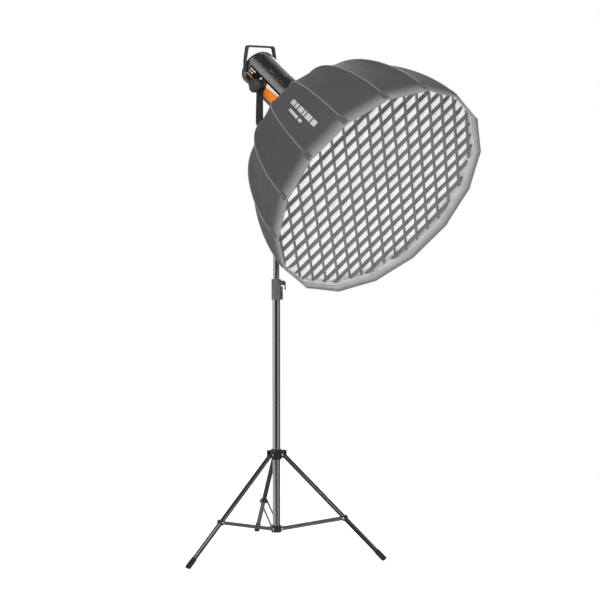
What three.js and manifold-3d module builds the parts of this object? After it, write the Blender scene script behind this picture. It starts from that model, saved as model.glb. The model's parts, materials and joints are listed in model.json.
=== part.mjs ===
// A studio strobe head with a deep sixteen-rib softbox, on a folding three-leg stand.
// Millimetres, +Z up. The beam leaves along -Y and dips below the horizon; the tilt axis lies along X.
// The model is built around the mast's axis, then moved so that its origin is under its middle.

import * as THREE from "three";
import { mergeVertices } from "three/addons/utils/BufferGeometryUtils.js";
import Module from "manifold-3d";

const wasm = await Module();
wasm.setup();

const GAP = 0.3;
const degrees = THREE.MathUtils.degToRad;

// Stand
const LOWER_TUBE = { outer: 15, inner: 12.4, bottom: 90, top: 1049.7 };
const MIDDLE_TUBE = { outer: 12, inner: 9.9, bottom: 700, top: 1517.7 };
const TOP_TUBE = { outer: 9.5, inner: 7.8, bottom: 1200, top: 1596 };
const CLAMP_HEIGHT = 80;
const CLAMP_STEP = 48;
const LOWER_CLAMP_Z = 1002;
const UPPER_CLAMP_Z = 1470;
const LOWER_CLAMP_TURN = degrees(-41);
const UPPER_CLAMP_TURN = degrees(90);

const LEG_TURNS = [180, 300, 60].map(degrees);
const PIVOT_R = 29;
const COLLAR_Z = 393;
const HUB_Z = 100;
const FOOT_R = 448.5;
const LEG_TO_BRACE = 345;
const LEG_LENGTH = Math.hypot(FOOT_R - PIVOT_R, COLLAR_Z);
const LEG_DROP = Math.atan2(COLLAR_Z, FOOT_R - PIVOT_R);
const LEG_TUBE_R = 9;
const LEG_SIDES = 16;
const FOOT_SLEEVE_R = 12;
const BRACE_REACH = LEG_TO_BRACE * Math.cos(LEG_DROP);
const BRACE_RISE = COLLAR_Z - LEG_TO_BRACE * Math.sin(LEG_DROP) - HUB_Z;
const BRACE_LENGTH = Math.hypot(BRACE_REACH, BRACE_RISE);
const BRACE_PITCH = Math.atan2(BRACE_RISE, BRACE_REACH);
const BRACE_INNER_Y = 12.5;
const BRACE_THICKNESS = 3;
const BRACE_HALF_WIDTH = 6;
const PIVOT_PIN_R = 3;
const RIVET_R = 4.5;
const COLLAR_OUTER_R = 19.4;
const COLLAR_KNOB_TURN = degrees(240);

// Yoke and tilt axis
const TILT_AXIS_Z = 1830;
const BEAM_DIP = degrees(34.6);
const YOKE_INNER_X = 82;
const YOKE_THICKNESS = 5;
const YOKE_WIDTH = 39;
const YOKE_BASE_Z = 1655.3;
const YOKE_CORNER_R = 42;
const RECEIVER = { bottom: 1604, top: 1655, outer: 19, bore: 8.3 };
const TILT_BOLT_R = 6;

// Strobe head, by distance along the beam from the tilt axis
const BODY_R = 72;
const BODY_WALL = 3;
const REAR_RING = { back: -138, front: -128 };
const SHELL_SPAN = { back: -127.7, front: 138 };
const FRONT_RING = { back: 138.3, front: 165.7, inner: 58 };
const PANEL_HALF_ANGLE = degrees(24);
const PANEL_SPAN = { back: -104, front: 136 };
const TRUNNION_R = 20;
const HANDLE_PIVOT_L = -116;
const HANDLE_PIN_R = 4;

// Softbox
const RIB_COUNT = 16;
const RIB_PHASE = degrees(2.6);
const RIB_END = { along: 672, radius: 448 };
const RIB_DEPTH = 500;
const RIB_BOW = 8;
const NECK = { back: 172, radius: 84 };
const LIP_FRONT = 722;
const LIP_RADIUS = 450;
const FABRIC = 3;
const GRID = { back: 672, front: 690, strip: 2, border: 3, outer: 445 };
// Every second strip of the woven grid, which has a strip each 52 mm one way and each 54 mm the other.
const GRID_FAMILIES = [
  { direction: degrees(-56.1), pitch: 104, count: 9 },
  { direction: degrees(59.4), pitch: 108, count: 8 },
];

// Sides of round shapes
const FINE = 40;
const ROUND = 20;
const SMALL = 8;

function finish(color, roughness, metalness) {
  return new THREE.MeshStandardMaterial({ color, roughness, metalness });
}

const MATERIALS = {
  mastMetal: finish(0x8c8e90, 0.25, 0.9),
  legMetal: finish(0x3a3b3c, 0.3, 0.8),
  castGrey: finish(0x7d7f80, 0.5, 0.4),
  blackPlastic: finish(0x1d1e1f, 0.5, 0.0),
  rubber: finish(0x141414, 0.9, 0.0),
  brass: finish(0xb8954a, 0.35, 0.9),
  steel: finish(0xc4c6c8, 0.25, 1.0),
  yokePaint: finish(0x2e2f30, 0.45, 0.5),
  bodyPaint: finish(0x77797b, 0.35, 0.7),
  darkPaint: finish(0x2b2c2d, 0.45, 0.4),
  panelOrange: finish(0xf07d19, 0.45, 0.0),
  board: finish(0x1f5a34, 0.6, 0.0),
  aluminium: finish(0xb9bcbf, 0.4, 0.9),
  glass: finish(0xdfe8ea, 0.05, 0.0),
  screen: finish(0x0d1a24, 0.15, 0.0),
  fabric: finish(0x56585a, 0.9, 0.0),
  gridFabric: finish(0x666869, 0.9, 0.0),
  diffuser: finish(0xf0f1f1, 0.8, 0.0),
  spring: finish(0x3d3f41, 0.4, 0.6),
};

// --- solids -----------------------------------------------------------------------------------

function tetraVolume(p, a, b, c) {
  const cross = [
    p[3 * b + 1] * p[3 * c + 2] - p[3 * b + 2] * p[3 * c + 1],
    p[3 * b + 2] * p[3 * c] - p[3 * b] * p[3 * c + 2],
    p[3 * b] * p[3 * c + 1] - p[3 * b + 1] * p[3 * c],
  ];
  return (p[3 * a] * cross[0] + p[3 * a + 1] * cross[1] + p[3 * a + 2] * cross[2]) / 6;
}

// One closed solid from a geometry, with its seams welded and its faces outward.
function solid(geometry) {
  const bare = geometry.clone();
  bare.deleteAttribute("normal");
  bare.deleteAttribute("uv");
  const merged = mergeVertices(bare, 1e-3);
  const points = merged.getAttribute("position").array;
  const corners = merged.index.array;
  const faces = [];
  let volume = 0;
  for (let i = 0; i < corners.length; i += 3) {
    const [a, b, c] = [corners[i], corners[i + 1], corners[i + 2]];
    if (a === b || b === c || c === a) continue;
    faces.push(a, b, c);
    volume += tetraVolume(points, a, b, c);
  }
  if (volume < 0) faces.reverse();
  return new wasm.Manifold(new wasm.Mesh({
    numProp: 3,
    vertProperties: new Float32Array(points),
    triVerts: new Uint32Array(faces),
  }));
}

function geometryOf(shape) {
  const mesh = shape.getMesh();
  const geometry = new THREE.BufferGeometry();
  geometry.setAttribute("position", new THREE.BufferAttribute(mesh.vertProperties, 3));
  geometry.setIndex(new THREE.BufferAttribute(mesh.triVerts, 1));
  geometry.computeVertexNormals();
  return geometry;
}

function joined(...geometries) {
  return geometries.map(solid).reduce((whole, piece) => whole.add(piece));
}

function cut(shape, ...geometries) {
  return geometries.map(solid).reduce((rest, tool) => rest.subtract(tool), shape);
}

// --- geometries -------------------------------------------------------------------------------

function turned(profile, segments = ROUND, start = 0) {
  const points = profile.map(([r, y]) => new THREE.Vector2(r, y));
  return new THREE.LatheGeometry(points, segments, start);
}

const ontoX = (geometry) => geometry.rotateZ(-Math.PI / 2);
const ontoZ = (geometry) => geometry.rotateX(Math.PI / 2);

function rod(radius, from, to, segments = ROUND) {
  return turned([[0, from], [radius, from], [radius, to], [0, to]], segments);
}

function ring(inner, outer, from, to, segments = ROUND) {
  return turned([[inner, from], [outer, from], [outer, to], [inner, to], [inner, from]], segments);
}

function block(x, y, z) {
  const box = new THREE.BoxGeometry(x[1] - x[0], y[1] - y[0], z[1] - z[0]);
  return box.translate((x[0] + x[1]) / 2, (y[0] + y[1]) / 2, (z[0] + z[1]) / 2);
}

function shapeOf(points) {
  return new THREE.Shape(points.map(([x, y]) => new THREE.Vector2(x, y)));
}

// An outline in the X-Z plane, given a width along Y and centred on y = 0.
function sideways(shape, width, curveSegments = 5) {
  const options = { depth: width, bevelEnabled: false, curveSegments };
  return ontoZ(new THREE.ExtrudeGeometry(shape, options)).translate(0, width / 2, 0);
}

function stadium(length, radius) {
  const shape = new THREE.Shape();
  shape.absarc(0, 0, radius, Math.PI / 2, 1.5 * Math.PI, false);
  shape.absarc(length, 0, radius, -Math.PI / 2, Math.PI / 2, false);
  return shape;
}

// Distance along the beam runs down the head's own -Y axis.
const atBeam = (along) => -along;

function beamRod(radius, back, front, segments = FINE) {
  return rod(radius, atBeam(front), atBeam(back), segments);
}

function beamRing(inner, outer, back, front, segments = FINE) {
  return ring(inner, outer, atBeam(front), atBeam(back), segments);
}

// A profile of [radius, distance along the beam], turned into the softbox's sixteen flat sides.
function sixteenSided(profile) {
  return turned(profile.map(([r, along]) => [r, atBeam(along)]), RIB_COUNT, -RIB_PHASE);
}

// --- assembly ---------------------------------------------------------------------------------

const strobe = new THREE.Group();
const stand = new THREE.Group();
const head = new THREE.Group();
head.position.z = TILT_AXIS_Z;
head.rotation.x = BEAM_DIP;
strobe.add(stand, head);

function add(parent, name, shape, material) {
  const mesh = new THREE.Mesh(geometryOf(shape), material);
  mesh.name = name;
  parent.add(mesh);
  return mesh;
}

// --- mast -------------------------------------------------------------------------------------

function mastTube(name, { outer, inner, bottom, top }) {
  add(stand, name, solid(ontoZ(ring(inner, outer, bottom, top))), MATERIALS.mastMetal);
}

mastTube("mast_lower_tube", LOWER_TUBE);
mastTube("mast_middle_tube", MIDDLE_TUBE);
mastTube("mast_top_tube", TOP_TUBE);

// The clamp's boss, its pinch bolt and its lever point along the clamp's own +X.
const CLAMP_BOSS = { back: 9, front: 26, halfWidth: 8, height: 52 };
const CLAMP_SLIT = 2.4;
const CLAMP_BOLT = { x: 21.4, z: 19, radius: 2.5, headR: 4.1 };
const LEVER = { pivotX: 27.2, pivotZ: 65, barrelR: 7.6, halfWidth: 7, pinR: 2.5 };
const LEVER_LUG = { inner: 7.3, outer: 10, reach: 32.5, bottom: 57, top: 74 };

function clampBody(lowerR, upperR) {
  const boss = CLAMP_BOSS;
  const lug = LEVER_LUG;
  const lugSides = [-1, 1].map((side) => {
    const y = [side * lug.inner, side * lug.outer].sort((a, b) => a - b);
    return block([boss.back, lug.reach], y, [lug.bottom, lug.top]);
  });
  const body = joined(
    ontoZ(rod(lowerR + 3.6, 0, CLAMP_HEIGHT, ROUND)),
    block([boss.back, boss.front], [-boss.halfWidth, boss.halfWidth], [0, boss.height]),
    ...lugSides,
  );
  return cut(
    body,
    ontoZ(rod(lowerR + GAP, -1, CLAMP_STEP, ROUND)),
    ontoZ(rod(upperR + GAP, CLAMP_STEP - 1, CLAMP_HEIGHT + 1, ROUND)),
    block([lowerR - 4, boss.front + 1], [-CLAMP_SLIT / 2, CLAMP_SLIT / 2], [-1, boss.height + 1]),
    rod(CLAMP_BOLT.radius + GAP, -20, 20, SMALL).translate(CLAMP_BOLT.x, 0, CLAMP_BOLT.z),
    rod(LEVER.pinR + GAP, -20, 20, SMALL).translate(LEVER.pivotX, 0, LEVER.pivotZ),
  );
}

function clampBolt() {
  const seat = CLAMP_BOSS.halfWidth + GAP;
  const bolt = joined(
    rod(CLAMP_BOLT.radius, -seat - 1, seat + 1, SMALL),
    rod(CLAMP_BOLT.headR, -seat - 3.4, -seat, SMALL),
    rod(CLAMP_BOLT.headR, seat, seat + 2.6, 6),
  );
  return bolt;
}

function leverOutline() {
  const { pivotX: x, pivotZ: z, barrelR: r } = LEVER;
  const outline = new THREE.Shape();
  outline.moveTo(x, z + r);
  outline.bezierCurveTo(x + 6, z + 9.5, x + 10.4, z + 5, x + 10.4, z - 2);
  outline.lineTo(x + 10.4, z - 23);
  outline.quadraticCurveTo(x + 10, z - 27, x + 6.5, z - 27);
  outline.lineTo(x + 3.8, z - 24.5);
  outline.lineTo(x + 5.6, z - 7.8);
  outline.absarc(x, z, r, degrees(-55), degrees(-270), true);
  return outline;
}

function clampLever() {
  const pin = rod(LEVER.pinR, -LEVER_LUG.outer - 1, LEVER_LUG.outer + 1, SMALL);
  return joined(
    sideways(leverOutline(), 2 * LEVER.halfWidth),
    pin.translate(LEVER.pivotX, 0, LEVER.pivotZ),
  );
}

function addClamp(prefix, lowerR, upperR, z, turn) {
  const clamp = new THREE.Group();
  clamp.position.z = z;
  clamp.rotation.z = turn;
  stand.add(clamp);
  add(clamp, `${prefix}_clamp_body`, clampBody(lowerR, upperR), MATERIALS.castGrey);
  const bolt = add(clamp, `${prefix}_clamp_bolt`, clampBolt(), MATERIALS.brass);
  bolt.position.set(CLAMP_BOLT.x, 0, CLAMP_BOLT.z);
  add(clamp, `${prefix}_clamp_lever`, clampLever(), MATERIALS.castGrey);
}

addClamp("lower", LOWER_TUBE.outer, MIDDLE_TUBE.outer, LOWER_CLAMP_Z, LOWER_CLAMP_TURN);
addClamp("upper", MIDDLE_TUBE.outer, TOP_TUBE.outer, UPPER_CLAMP_Z, UPPER_CLAMP_TURN);

// --- legs -------------------------------------------------------------------------------------

const HUB = { outer: 20, bottom: 84, top: 110, lugHalfWidth: 12.2, lugR: 7.5 };
const EAR = { inner: 9.4, outer: 13, reach: 38, bottom: 381, top: 410 };
const COLLAR = { bottom: 373, top: 413 };
const KNOB_SCREW_R = 4;

// A pin along Y at a pivot, with a rivet head outside each cheek.
function pivotPin(x, z, cheek) {
  return [
    rod(PIVOT_PIN_R, -cheek - 1, cheek + 1, SMALL).translate(x, 0, z),
    rod(RIVET_R, cheek + GAP, cheek + 2, SMALL).translate(x, 0, z),
    rod(RIVET_R, -cheek - 2, -cheek - GAP, SMALL).translate(x, 0, z),
  ];
}

function pivotHole(x, z) {
  return rod(PIVOT_PIN_R + GAP, -30, 30, SMALL).translate(x, 0, z);
}

function hubShape() {
  const lugs = LEG_TURNS.map((turn) => {
    const lug = sideways(stadium(PIVOT_R, HUB.lugR), 2 * HUB.lugHalfWidth);
    return lug.translate(0, 0, HUB_Z).rotateZ(turn);
  });
  const hub = joined(ontoZ(rod(HUB.outer, HUB.bottom, HUB.top, ROUND)), ...lugs);
  const holes = LEG_TURNS.map((turn) => pivotHole(PIVOT_R, HUB_Z).rotateZ(turn));
  const bore = ontoZ(rod(LOWER_TUBE.outer + GAP, LOWER_TUBE.bottom - GAP, HUB.top + 1, ROUND));
  return cut(hub, bore, ...holes);
}

function earOutline() {
  const { reach, bottom, top } = EAR;
  return shapeOf([[12, bottom], [reach - 6, bottom], [reach, bottom + 9], [reach, top], [12, top]]);
}

function collarShape() {
  const earWidth = EAR.outer - EAR.inner;
  const earOffset = (EAR.outer + EAR.inner) / 2;
  const ears = LEG_TURNS.flatMap((turn) => [-1, 1].map((side) => (
    sideways(earOutline(), earWidth).translate(0, side * earOffset, 0).rotateZ(turn)
  )));
  const knobBoss = ontoX(rod(8, 14, 24)).translate(0, 0, COLLAR_Z).rotateZ(COLLAR_KNOB_TURN);
  const collar = joined(
    ontoZ(rod(COLLAR_OUTER_R, COLLAR.bottom, COLLAR.top, ROUND)),
    knobBoss,
    ...ears,
  );
  const screwHole = ontoX(rod(KNOB_SCREW_R + GAP, 10, 30, ROUND)).translate(0, 0, COLLAR_Z);
  return cut(
    collar,
    ontoZ(rod(LOWER_TUBE.outer + GAP, COLLAR.bottom - 1, COLLAR.top + 1, ROUND)),
    screwHole.rotateZ(COLLAR_KNOB_TURN),
    ...LEG_TURNS.map((turn) => pivotHole(PIVOT_R, COLLAR_Z).rotateZ(turn)),
  );
}

// A turned grip on a plain screw, along +X, with the screw's tip at x = 0.
function screwKnob(screwR, gripR, gripFrom, gripTo) {
  const edge = 2;
  return solid(ontoX(turned([
    [0, 0],
    [screwR, 0],
    [screwR, gripFrom],
    [gripR - edge, gripFrom],
    [gripR, gripFrom + edge],
    [gripR, gripTo - edge],
    [gripR - edge, gripTo],
    [gripR * 0.6, gripTo],
    [gripR * 0.55, gripTo - 1],
    [0, gripTo - 1],
  ], ROUND)));
}

// The leg lies along +X from its collar pivot. Its tube is open at the foot end.
function legShape() {
  const tubeEnd = LEG_LENGTH - 15;
  const wall = 1.6;
  const r = LEG_TUBE_R;
  const domed = [0, 45].map((a) => [r * Math.sin(degrees(a)), -r * Math.cos(degrees(a))]);
  const tube = turned([...domed, [r, 0], [r, tubeEnd], [0, tubeEnd]], LEG_SIDES);
  const saddle = rod(r + 1.5, -HUB.lugHalfWidth, HUB.lugHalfWidth, LEG_SIDES);
  const leg = joined(ontoX(tube), saddle.translate(LEG_TO_BRACE, 0, 0), ...pivotPin(0, 0, EAR.outer));
  return cut(leg, ontoX(rod(r - wall, 12, tubeEnd + 1, LEG_SIDES)));
}

// The foot's sleeve runs along the leg, and its sole is cut flat on the floor.
function footShape() {
  const sleeve = rod(FOOT_SLEEVE_R, LEG_LENGTH - 52, LEG_LENGTH + 30, ROUND);
  const socket = rod(LEG_TUBE_R + GAP, LEG_LENGTH - 60, LEG_LENGTH - 15 + GAP, ROUND);
  const onLeg = (geometry) => (
    ontoX(geometry).rotateY(LEG_DROP).translate(PIVOT_R, 0, COLLAR_Z)
  );
  const underFloor = block([FOOT_R - 200, FOOT_R + 200], [-100, 100], [-100, 0]);
  return cut(solid(onLeg(sleeve)), onLeg(socket), underFloor);
}

// Two flat strips straddle the hub's lug and the leg. One pin crosses the lug and joins them.
function braceShape() {
  const offset = BRACE_INNER_Y + BRACE_THICKNESS / 2;
  const outerFace = BRACE_INNER_Y + BRACE_THICKNESS;
  const strips = [-1, 1].map((side) => (
    sideways(stadium(BRACE_LENGTH, BRACE_HALF_WIDTH), BRACE_THICKNESS).translate(0, side * offset, 0)
  ));
  const rivets = [-1, 1].map((side) => {
    const faces = [side * (outerFace - 1), side * (outerFace + 1.8)].sort((a, b) => a - b);
    return rod(RIVET_R, ...faces, SMALL).translate(BRACE_LENGTH, 0, 0);
  });
  const pin = rod(PIVOT_PIN_R, -outerFace - 1.5, outerFace + 1.5, SMALL);
  return joined(...strips, ...rivets, pin);
}

add(stand, "bottom_hub", hubShape(), MATERIALS.darkPaint);
add(stand, "leg_collar", collarShape(), MATERIALS.darkPaint);

const collarKnob = add(stand, "collar_knob", screwKnob(KNOB_SCREW_R, 9, 9, 22), MATERIALS.blackPlastic);
const collarKnobStart = 16.5;
collarKnob.position.set(
  collarKnobStart * Math.cos(COLLAR_KNOB_TURN),
  collarKnobStart * Math.sin(COLLAR_KNOB_TURN),
  COLLAR_Z,
);
collarKnob.rotation.z = COLLAR_KNOB_TURN;

LEG_TURNS.forEach((turn, i) => {
  const number = i + 1;
  const side = new THREE.Group();
  side.rotation.z = turn;
  stand.add(side);
  const leg = add(side, `leg_${number}`, legShape(), MATERIALS.legMetal);
  leg.position.set(PIVOT_R, 0, COLLAR_Z);
  leg.rotation.y = LEG_DROP;
  add(side, `foot_${number}`, footShape(), MATERIALS.rubber);
  const brace = add(side, `brace_${number}`, braceShape(), MATERIALS.legMetal);
  brace.position.set(PIVOT_R, 0, HUB_Z);
  brace.rotation.y = -BRACE_PITCH;
});

// --- spigot, receiver and yoke ----------------------------------------------------------------

function spigotShape() {
  const plugR = TOP_TUBE.inner - GAP;
  const studR = RECEIVER.bore - GAP;
  const seat = TOP_TUBE.top + GAP;
  return solid(ontoZ(turned([
    [0, seat - 36],
    [plugR, seat - 36],
    [plugR, seat],
    [11.5, seat],
    [11.5, seat + 6],
    [studR, seat + 6],
    [studR, seat + 22],
    [studR - 1.5, seat + 25],
    [studR - 1.5, seat + 33],
    [studR, seat + 36],
    [studR, seat + 47],
    [studR - 1.5, seat + 49],
    [0, seat + 49],
  ], 16)));
}

const RECEIVER_KNOB_Z = 1628;

function receiverShape() {
  const { bottom, top, outer, bore } = RECEIVER;
  const boreTop = top - 7;
  const boss = rod(11, 10, 26).translate(0, 0, RECEIVER_KNOB_Z);
  const body = joined(ontoZ(rod(outer, bottom, top, ROUND)), boss);
  return cut(
    body,
    ontoZ(rod(bore, bottom - 1, boreTop, ROUND)),
    ontoZ(rod(4 + GAP, boreTop - 1, top + 1, SMALL)),
    rod(KNOB_SCREW_R + GAP, 5, 30, ROUND).translate(0, 0, RECEIVER_KNOB_Z),
  );
}

// The U-shaped yoke, seen along the beam: two arms, two round corners and a flat base.
function yokeOutline() {
  const outerX = YOKE_INNER_X + YOKE_THICKNESS;
  const innerZ = YOKE_BASE_Z + YOKE_THICKNESS;
  const outerR = YOKE_CORNER_R;
  const innerR = outerR - YOKE_THICKNESS;
  const top = TILT_AXIS_Z + YOKE_WIDTH / 2;
  const quarter = Math.PI / 2;
  const outline = new THREE.Shape();
  outline.moveTo(-outerX, top);
  outline.absarc(-outerX + outerR, YOKE_BASE_Z + outerR, outerR, 2 * quarter, 3 * quarter, false);
  outline.absarc(outerX - outerR, YOKE_BASE_Z + outerR, outerR, 3 * quarter, 4 * quarter, false);
  outline.lineTo(outerX, top);
  outline.lineTo(YOKE_INNER_X, top);
  outline.absarc(YOKE_INNER_X - innerR, innerZ + innerR, innerR, 0, -quarter, true);
  outline.absarc(-YOKE_INNER_X + innerR, innerZ + innerR, innerR, -quarter, -2 * quarter, true);
  outline.lineTo(-YOKE_INNER_X, top);
  return outline;
}

function yokeShape() {
  const roundEnd = rod(YOKE_WIDTH / 2, -100, 100, ROUND);
  const armSide = joined(
    ontoX(roundEnd).translate(0, 0, TILT_AXIS_Z),
    block([-100, 100], [-YOKE_WIDTH / 2, YOKE_WIDTH / 2], [YOKE_BASE_Z - 1, TILT_AXIS_Z]),
  );
  const bend = solid(sideways(yokeOutline(), YOKE_WIDTH + 2, 10)).intersect(armSide);
  return cut(
    bend,
    ontoX(rod(TILT_BOLT_R + GAP, -100, 100, ROUND)).translate(0, 0, TILT_AXIS_Z),
    ontoZ(rod(4 + GAP, YOKE_BASE_Z - 1, YOKE_BASE_Z + 10, SMALL)),
  );
}

function yokeBoltShape() {
  const seat = YOKE_BASE_Z + YOKE_THICKNESS + GAP;
  return joined(ontoZ(rod(4, RECEIVER.top - 6, seat + 1, SMALL)), ontoZ(rod(8, seat, seat + 5, 6)));
}

// The tilt knob clamps the left arm of the yoke: screw, washer stack and a broad round grip.
function tiltKnobShape() {
  const arm = YOKE_INNER_X + YOKE_THICKNESS + GAP;
  return solid(ontoX(turned([
    [0, 77],
    [TILT_BOLT_R, 77],
    [TILT_BOLT_R, arm],
    [17, arm],
    [17, arm + 5],
    [19, arm + 6],
    [19, arm + 13],
    [25, arm + 15.5],
    [27, arm + 17.5],
    [27, arm + 27],
    [25, arm + 29.4],
    [22, arm + 30],
    [20, arm + 28.4],
    [12, arm + 28.4],
    [11, arm + 29.4],
    [0, arm + 29.4],
  ], 28)).rotateZ(Math.PI));
}

function tiltBoltShape() {
  const arm = YOKE_INNER_X + YOKE_THICKNESS + GAP;
  return joined(
    ontoX(rod(TILT_BOLT_R, 77, arm + 1, ROUND)),
    ontoX(rod(15, arm, arm + 2.5, ROUND)),
    ontoX(rod(9.5, arm + 2, arm + 9, 6)),
  );
}

add(stand, "spigot", spigotShape(), MATERIALS.steel);
add(stand, "receiver", receiverShape(), MATERIALS.darkPaint);
const receiverKnob = add(stand, "receiver_knob", screwKnob(KNOB_SCREW_R, 13, 18, 36), MATERIALS.blackPlastic);
receiverKnob.position.set(0, 9.5, RECEIVER_KNOB_Z);
receiverKnob.rotation.z = Math.PI / 2;
add(stand, "yoke_bracket", yokeShape(), MATERIALS.yokePaint);
add(stand, "yoke_bolt", yokeBoltShape(), MATERIALS.steel);

const tiltAxis = new THREE.Group();
tiltAxis.position.z = TILT_AXIS_Z;
stand.add(tiltAxis);
add(tiltAxis, "tilt_knob", tiltKnobShape(), MATERIALS.blackPlastic);
add(tiltAxis, "tilt_bolt", tiltBoltShape(), MATERIALS.steel);

// --- strobe housing ---------------------------------------------------------------------------

// A cutting wedge, straight out from the beam's axis, at an angle from +X towards the head's top.
function radialBlock(angle, width, back, front, from = 50, to = 90) {
  const tool = block([from, to], [atBeam(front), atBeam(back)], [-width / 2, width / 2]);
  return tool.rotateY(-angle);
}

function ventTools() {
  const slotLength = 11;
  const slotPitch = 18;
  const rows = [54, 126].flatMap((angle) => Array.from({ length: 5 }, (_, i) => {
    const back = -1 + i * slotPitch;
    return radialBlock(degrees(angle), 3.4, back, back + slotLength);
  }));
  const grille = Array.from({ length: 8 }, (_, i) => {
    const back = 44 + i * 10;
    return radialBlock(degrees(90), 44, back, back + 4);
  });
  return [...rows, ...grille];
}

function bodyShellShape() {
  const shell = solid(beamRing(BODY_R - BODY_WALL, BODY_R, SHELL_SPAN.back, SHELL_SPAN.front));
  const handleHole = ontoX(rod(HANDLE_PIN_R + GAP, -100, 100)).translate(0, atBeam(HANDLE_PIVOT_L), 0);
  return cut(shell, ...ventTools(), handleHole);
}

function rearRingShape() {
  const { back, front } = REAR_RING;
  return solid(turned([
    [67, atBeam(front)],
    [BODY_R + 1, atBeam(front)],
    [BODY_R + 1, atBeam(back + 4)],
    [BODY_R - 1.5, atBeam(back)],
    [68.5, atBeam(back)],
    [67, atBeam(back + 2)],
    [67, atBeam(front)],
  ], FINE));
}

function trunnionShape(side) {
  const outerX = YOKE_INNER_X - GAP;
  const boss = ontoX(rod(TRUNNION_R, 55, outerX, ROUND));
  const hole = ontoX(rod(TILT_BOLT_R + GAP, 50, outerX + 1, ROUND));
  if (side < 0) [boss, hole].forEach((piece) => piece.rotateZ(Math.PI));
  return cut(solid(boss), beamRod(BODY_R + GAP, -60, 60, FINE), hole);
}

// A thin curved panel on the flank of the body, cut round the trunnion.
function sidePanelShape(side) {
  const inner = BODY_R + GAP;
  const outer = inner + 1.4;
  const centre = side < 0 ? Math.PI : 0;
  const steps = 12;
  const arc = (r, from, to) => Array.from({ length: steps + 1 }, (_, i) => {
    const angle = centre + from + ((to - from) * i) / steps;
    return [r * Math.cos(angle), r * Math.sin(angle)];
  });
  const half = PANEL_HALF_ANGLE;
  const outline = shapeOf([...arc(outer, -half, half), ...arc(inner, half, -half)]);
  const length = PANEL_SPAN.front - PANEL_SPAN.back;
  const strip = sideways(outline, length);
  const middle = (PANEL_SPAN.front + PANEL_SPAN.back) / 2;
  const hole = ontoX(rod(TRUNNION_R + GAP, 50, 90, ROUND));
  if (side < 0) hole.rotateZ(Math.PI);
  return cut(solid(strip.translate(0, atBeam(middle), 0)), hole);
}

add(head, "body_shell", bodyShellShape(), MATERIALS.bodyPaint);
add(head, "rear_ring", rearRingShape(), MATERIALS.darkPaint);
add(head, "trunnion_left", trunnionShape(-1), MATERIALS.darkPaint);
add(head, "trunnion_right", trunnionShape(1), MATERIALS.darkPaint);
add(head, "side_panel_left", sidePanelShape(-1), MATERIALS.panelOrange);
add(head, "side_panel_right", sidePanelShape(1), MATERIALS.panelOrange);

// The carrying handle is a flat bail whose pins turn in the sides of the body.
const HANDLE = { width: 16, endR: 10, bar: 7, footInner: 74.4, footOuter: 79, straight: 36, rise: 95 };

function handleOutline() {
  const { endR, bar, footInner, footOuter, straight, rise } = HANDLE;
  const shoulder = { x: 69.5, z: 88 };
  const outline = new THREE.Shape();
  outline.moveTo(-footOuter, -endR);
  outline.lineTo(-footOuter, straight);
  outline.lineTo(-shoulder.x - 1.5, shoulder.z - 5);
  outline.quadraticCurveTo(-shoulder.x + 0.5, rise, -shoulder.x + 12, rise);
  outline.lineTo(shoulder.x - 12, rise);
  outline.quadraticCurveTo(shoulder.x - 0.5, rise, shoulder.x + 1.5, shoulder.z - 5);
  outline.lineTo(footOuter, straight);
  outline.lineTo(footOuter, -endR);
  outline.lineTo(footInner, -endR);
  outline.lineTo(footInner, straight);
  outline.lineTo(shoulder.x - 5, shoulder.z - 8);
  outline.quadraticCurveTo(shoulder.x - 6, rise - bar, shoulder.x - 13, rise - bar);
  outline.lineTo(-shoulder.x + 13, rise - bar);
  outline.quadraticCurveTo(-shoulder.x + 6, rise - bar, -shoulder.x + 5, shoulder.z - 8);
  outline.lineTo(-footInner, straight);
  outline.lineTo(-footInner, -endR);
  return outline;
}

function handleShape() {
  const { width, endR, footInner, footOuter } = HANDLE;
  const bail = joined(
    sideways(handleOutline(), width, 6),
    ontoX(rod(endR, footInner, footOuter, ROUND)),
    ontoX(rod(endR, -footOuter, -footInner, ROUND)),
    ontoX(rod(HANDLE_PIN_R, BODY_R - 5, footInner + 1, SMALL)),
    ontoX(rod(HANDLE_PIN_R, -footInner - 1, 5 - BODY_R, SMALL)),
  );
  const belowRoundEnd = cut(
    solid(block([-90, 90], [-20, 20], [-30, 0])),
    ontoX(rod(endR, -95, 95, ROUND)),
  );
  return bail.subtract(belowRoundEnd);
}

const handle = add(head, "carry_handle", handleShape(), MATERIALS.darkPaint);
handle.position.y = atBeam(HANDLE_PIVOT_L);
handle.rotation.x = -BEAM_DIP;

// --- back panel -------------------------------------------------------------------------------

// The panel faces backwards, along the head's +Y. Its controls are placed by [x, z].
const REAR_PANEL = { back: -133, front: -130, radius: 66.6 };
const DISPLAY = { x: 0, z: 27, width: 58, height: 26 };
const DIAL = { x: 0, z: -8, radius: 13, shaftR: 3 };
const BUTTON_R = 5;
const BUTTONS = { mode_button: [-32, -8], test_button: [32, -8] };
const SWITCH = { x: -27, z: -38, width: 20, height: 13 };
const INLET = { x: 13, z: -40, width: 38, height: 24 };

function panelBlock({ x, z, width, height }, back, front, margin = 0) {
  const halfX = width / 2 + margin;
  const halfZ = height / 2 + margin;
  return block([x - halfX, x + halfX], [atBeam(front), atBeam(back)], [z - halfZ, z + halfZ]);
}

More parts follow.
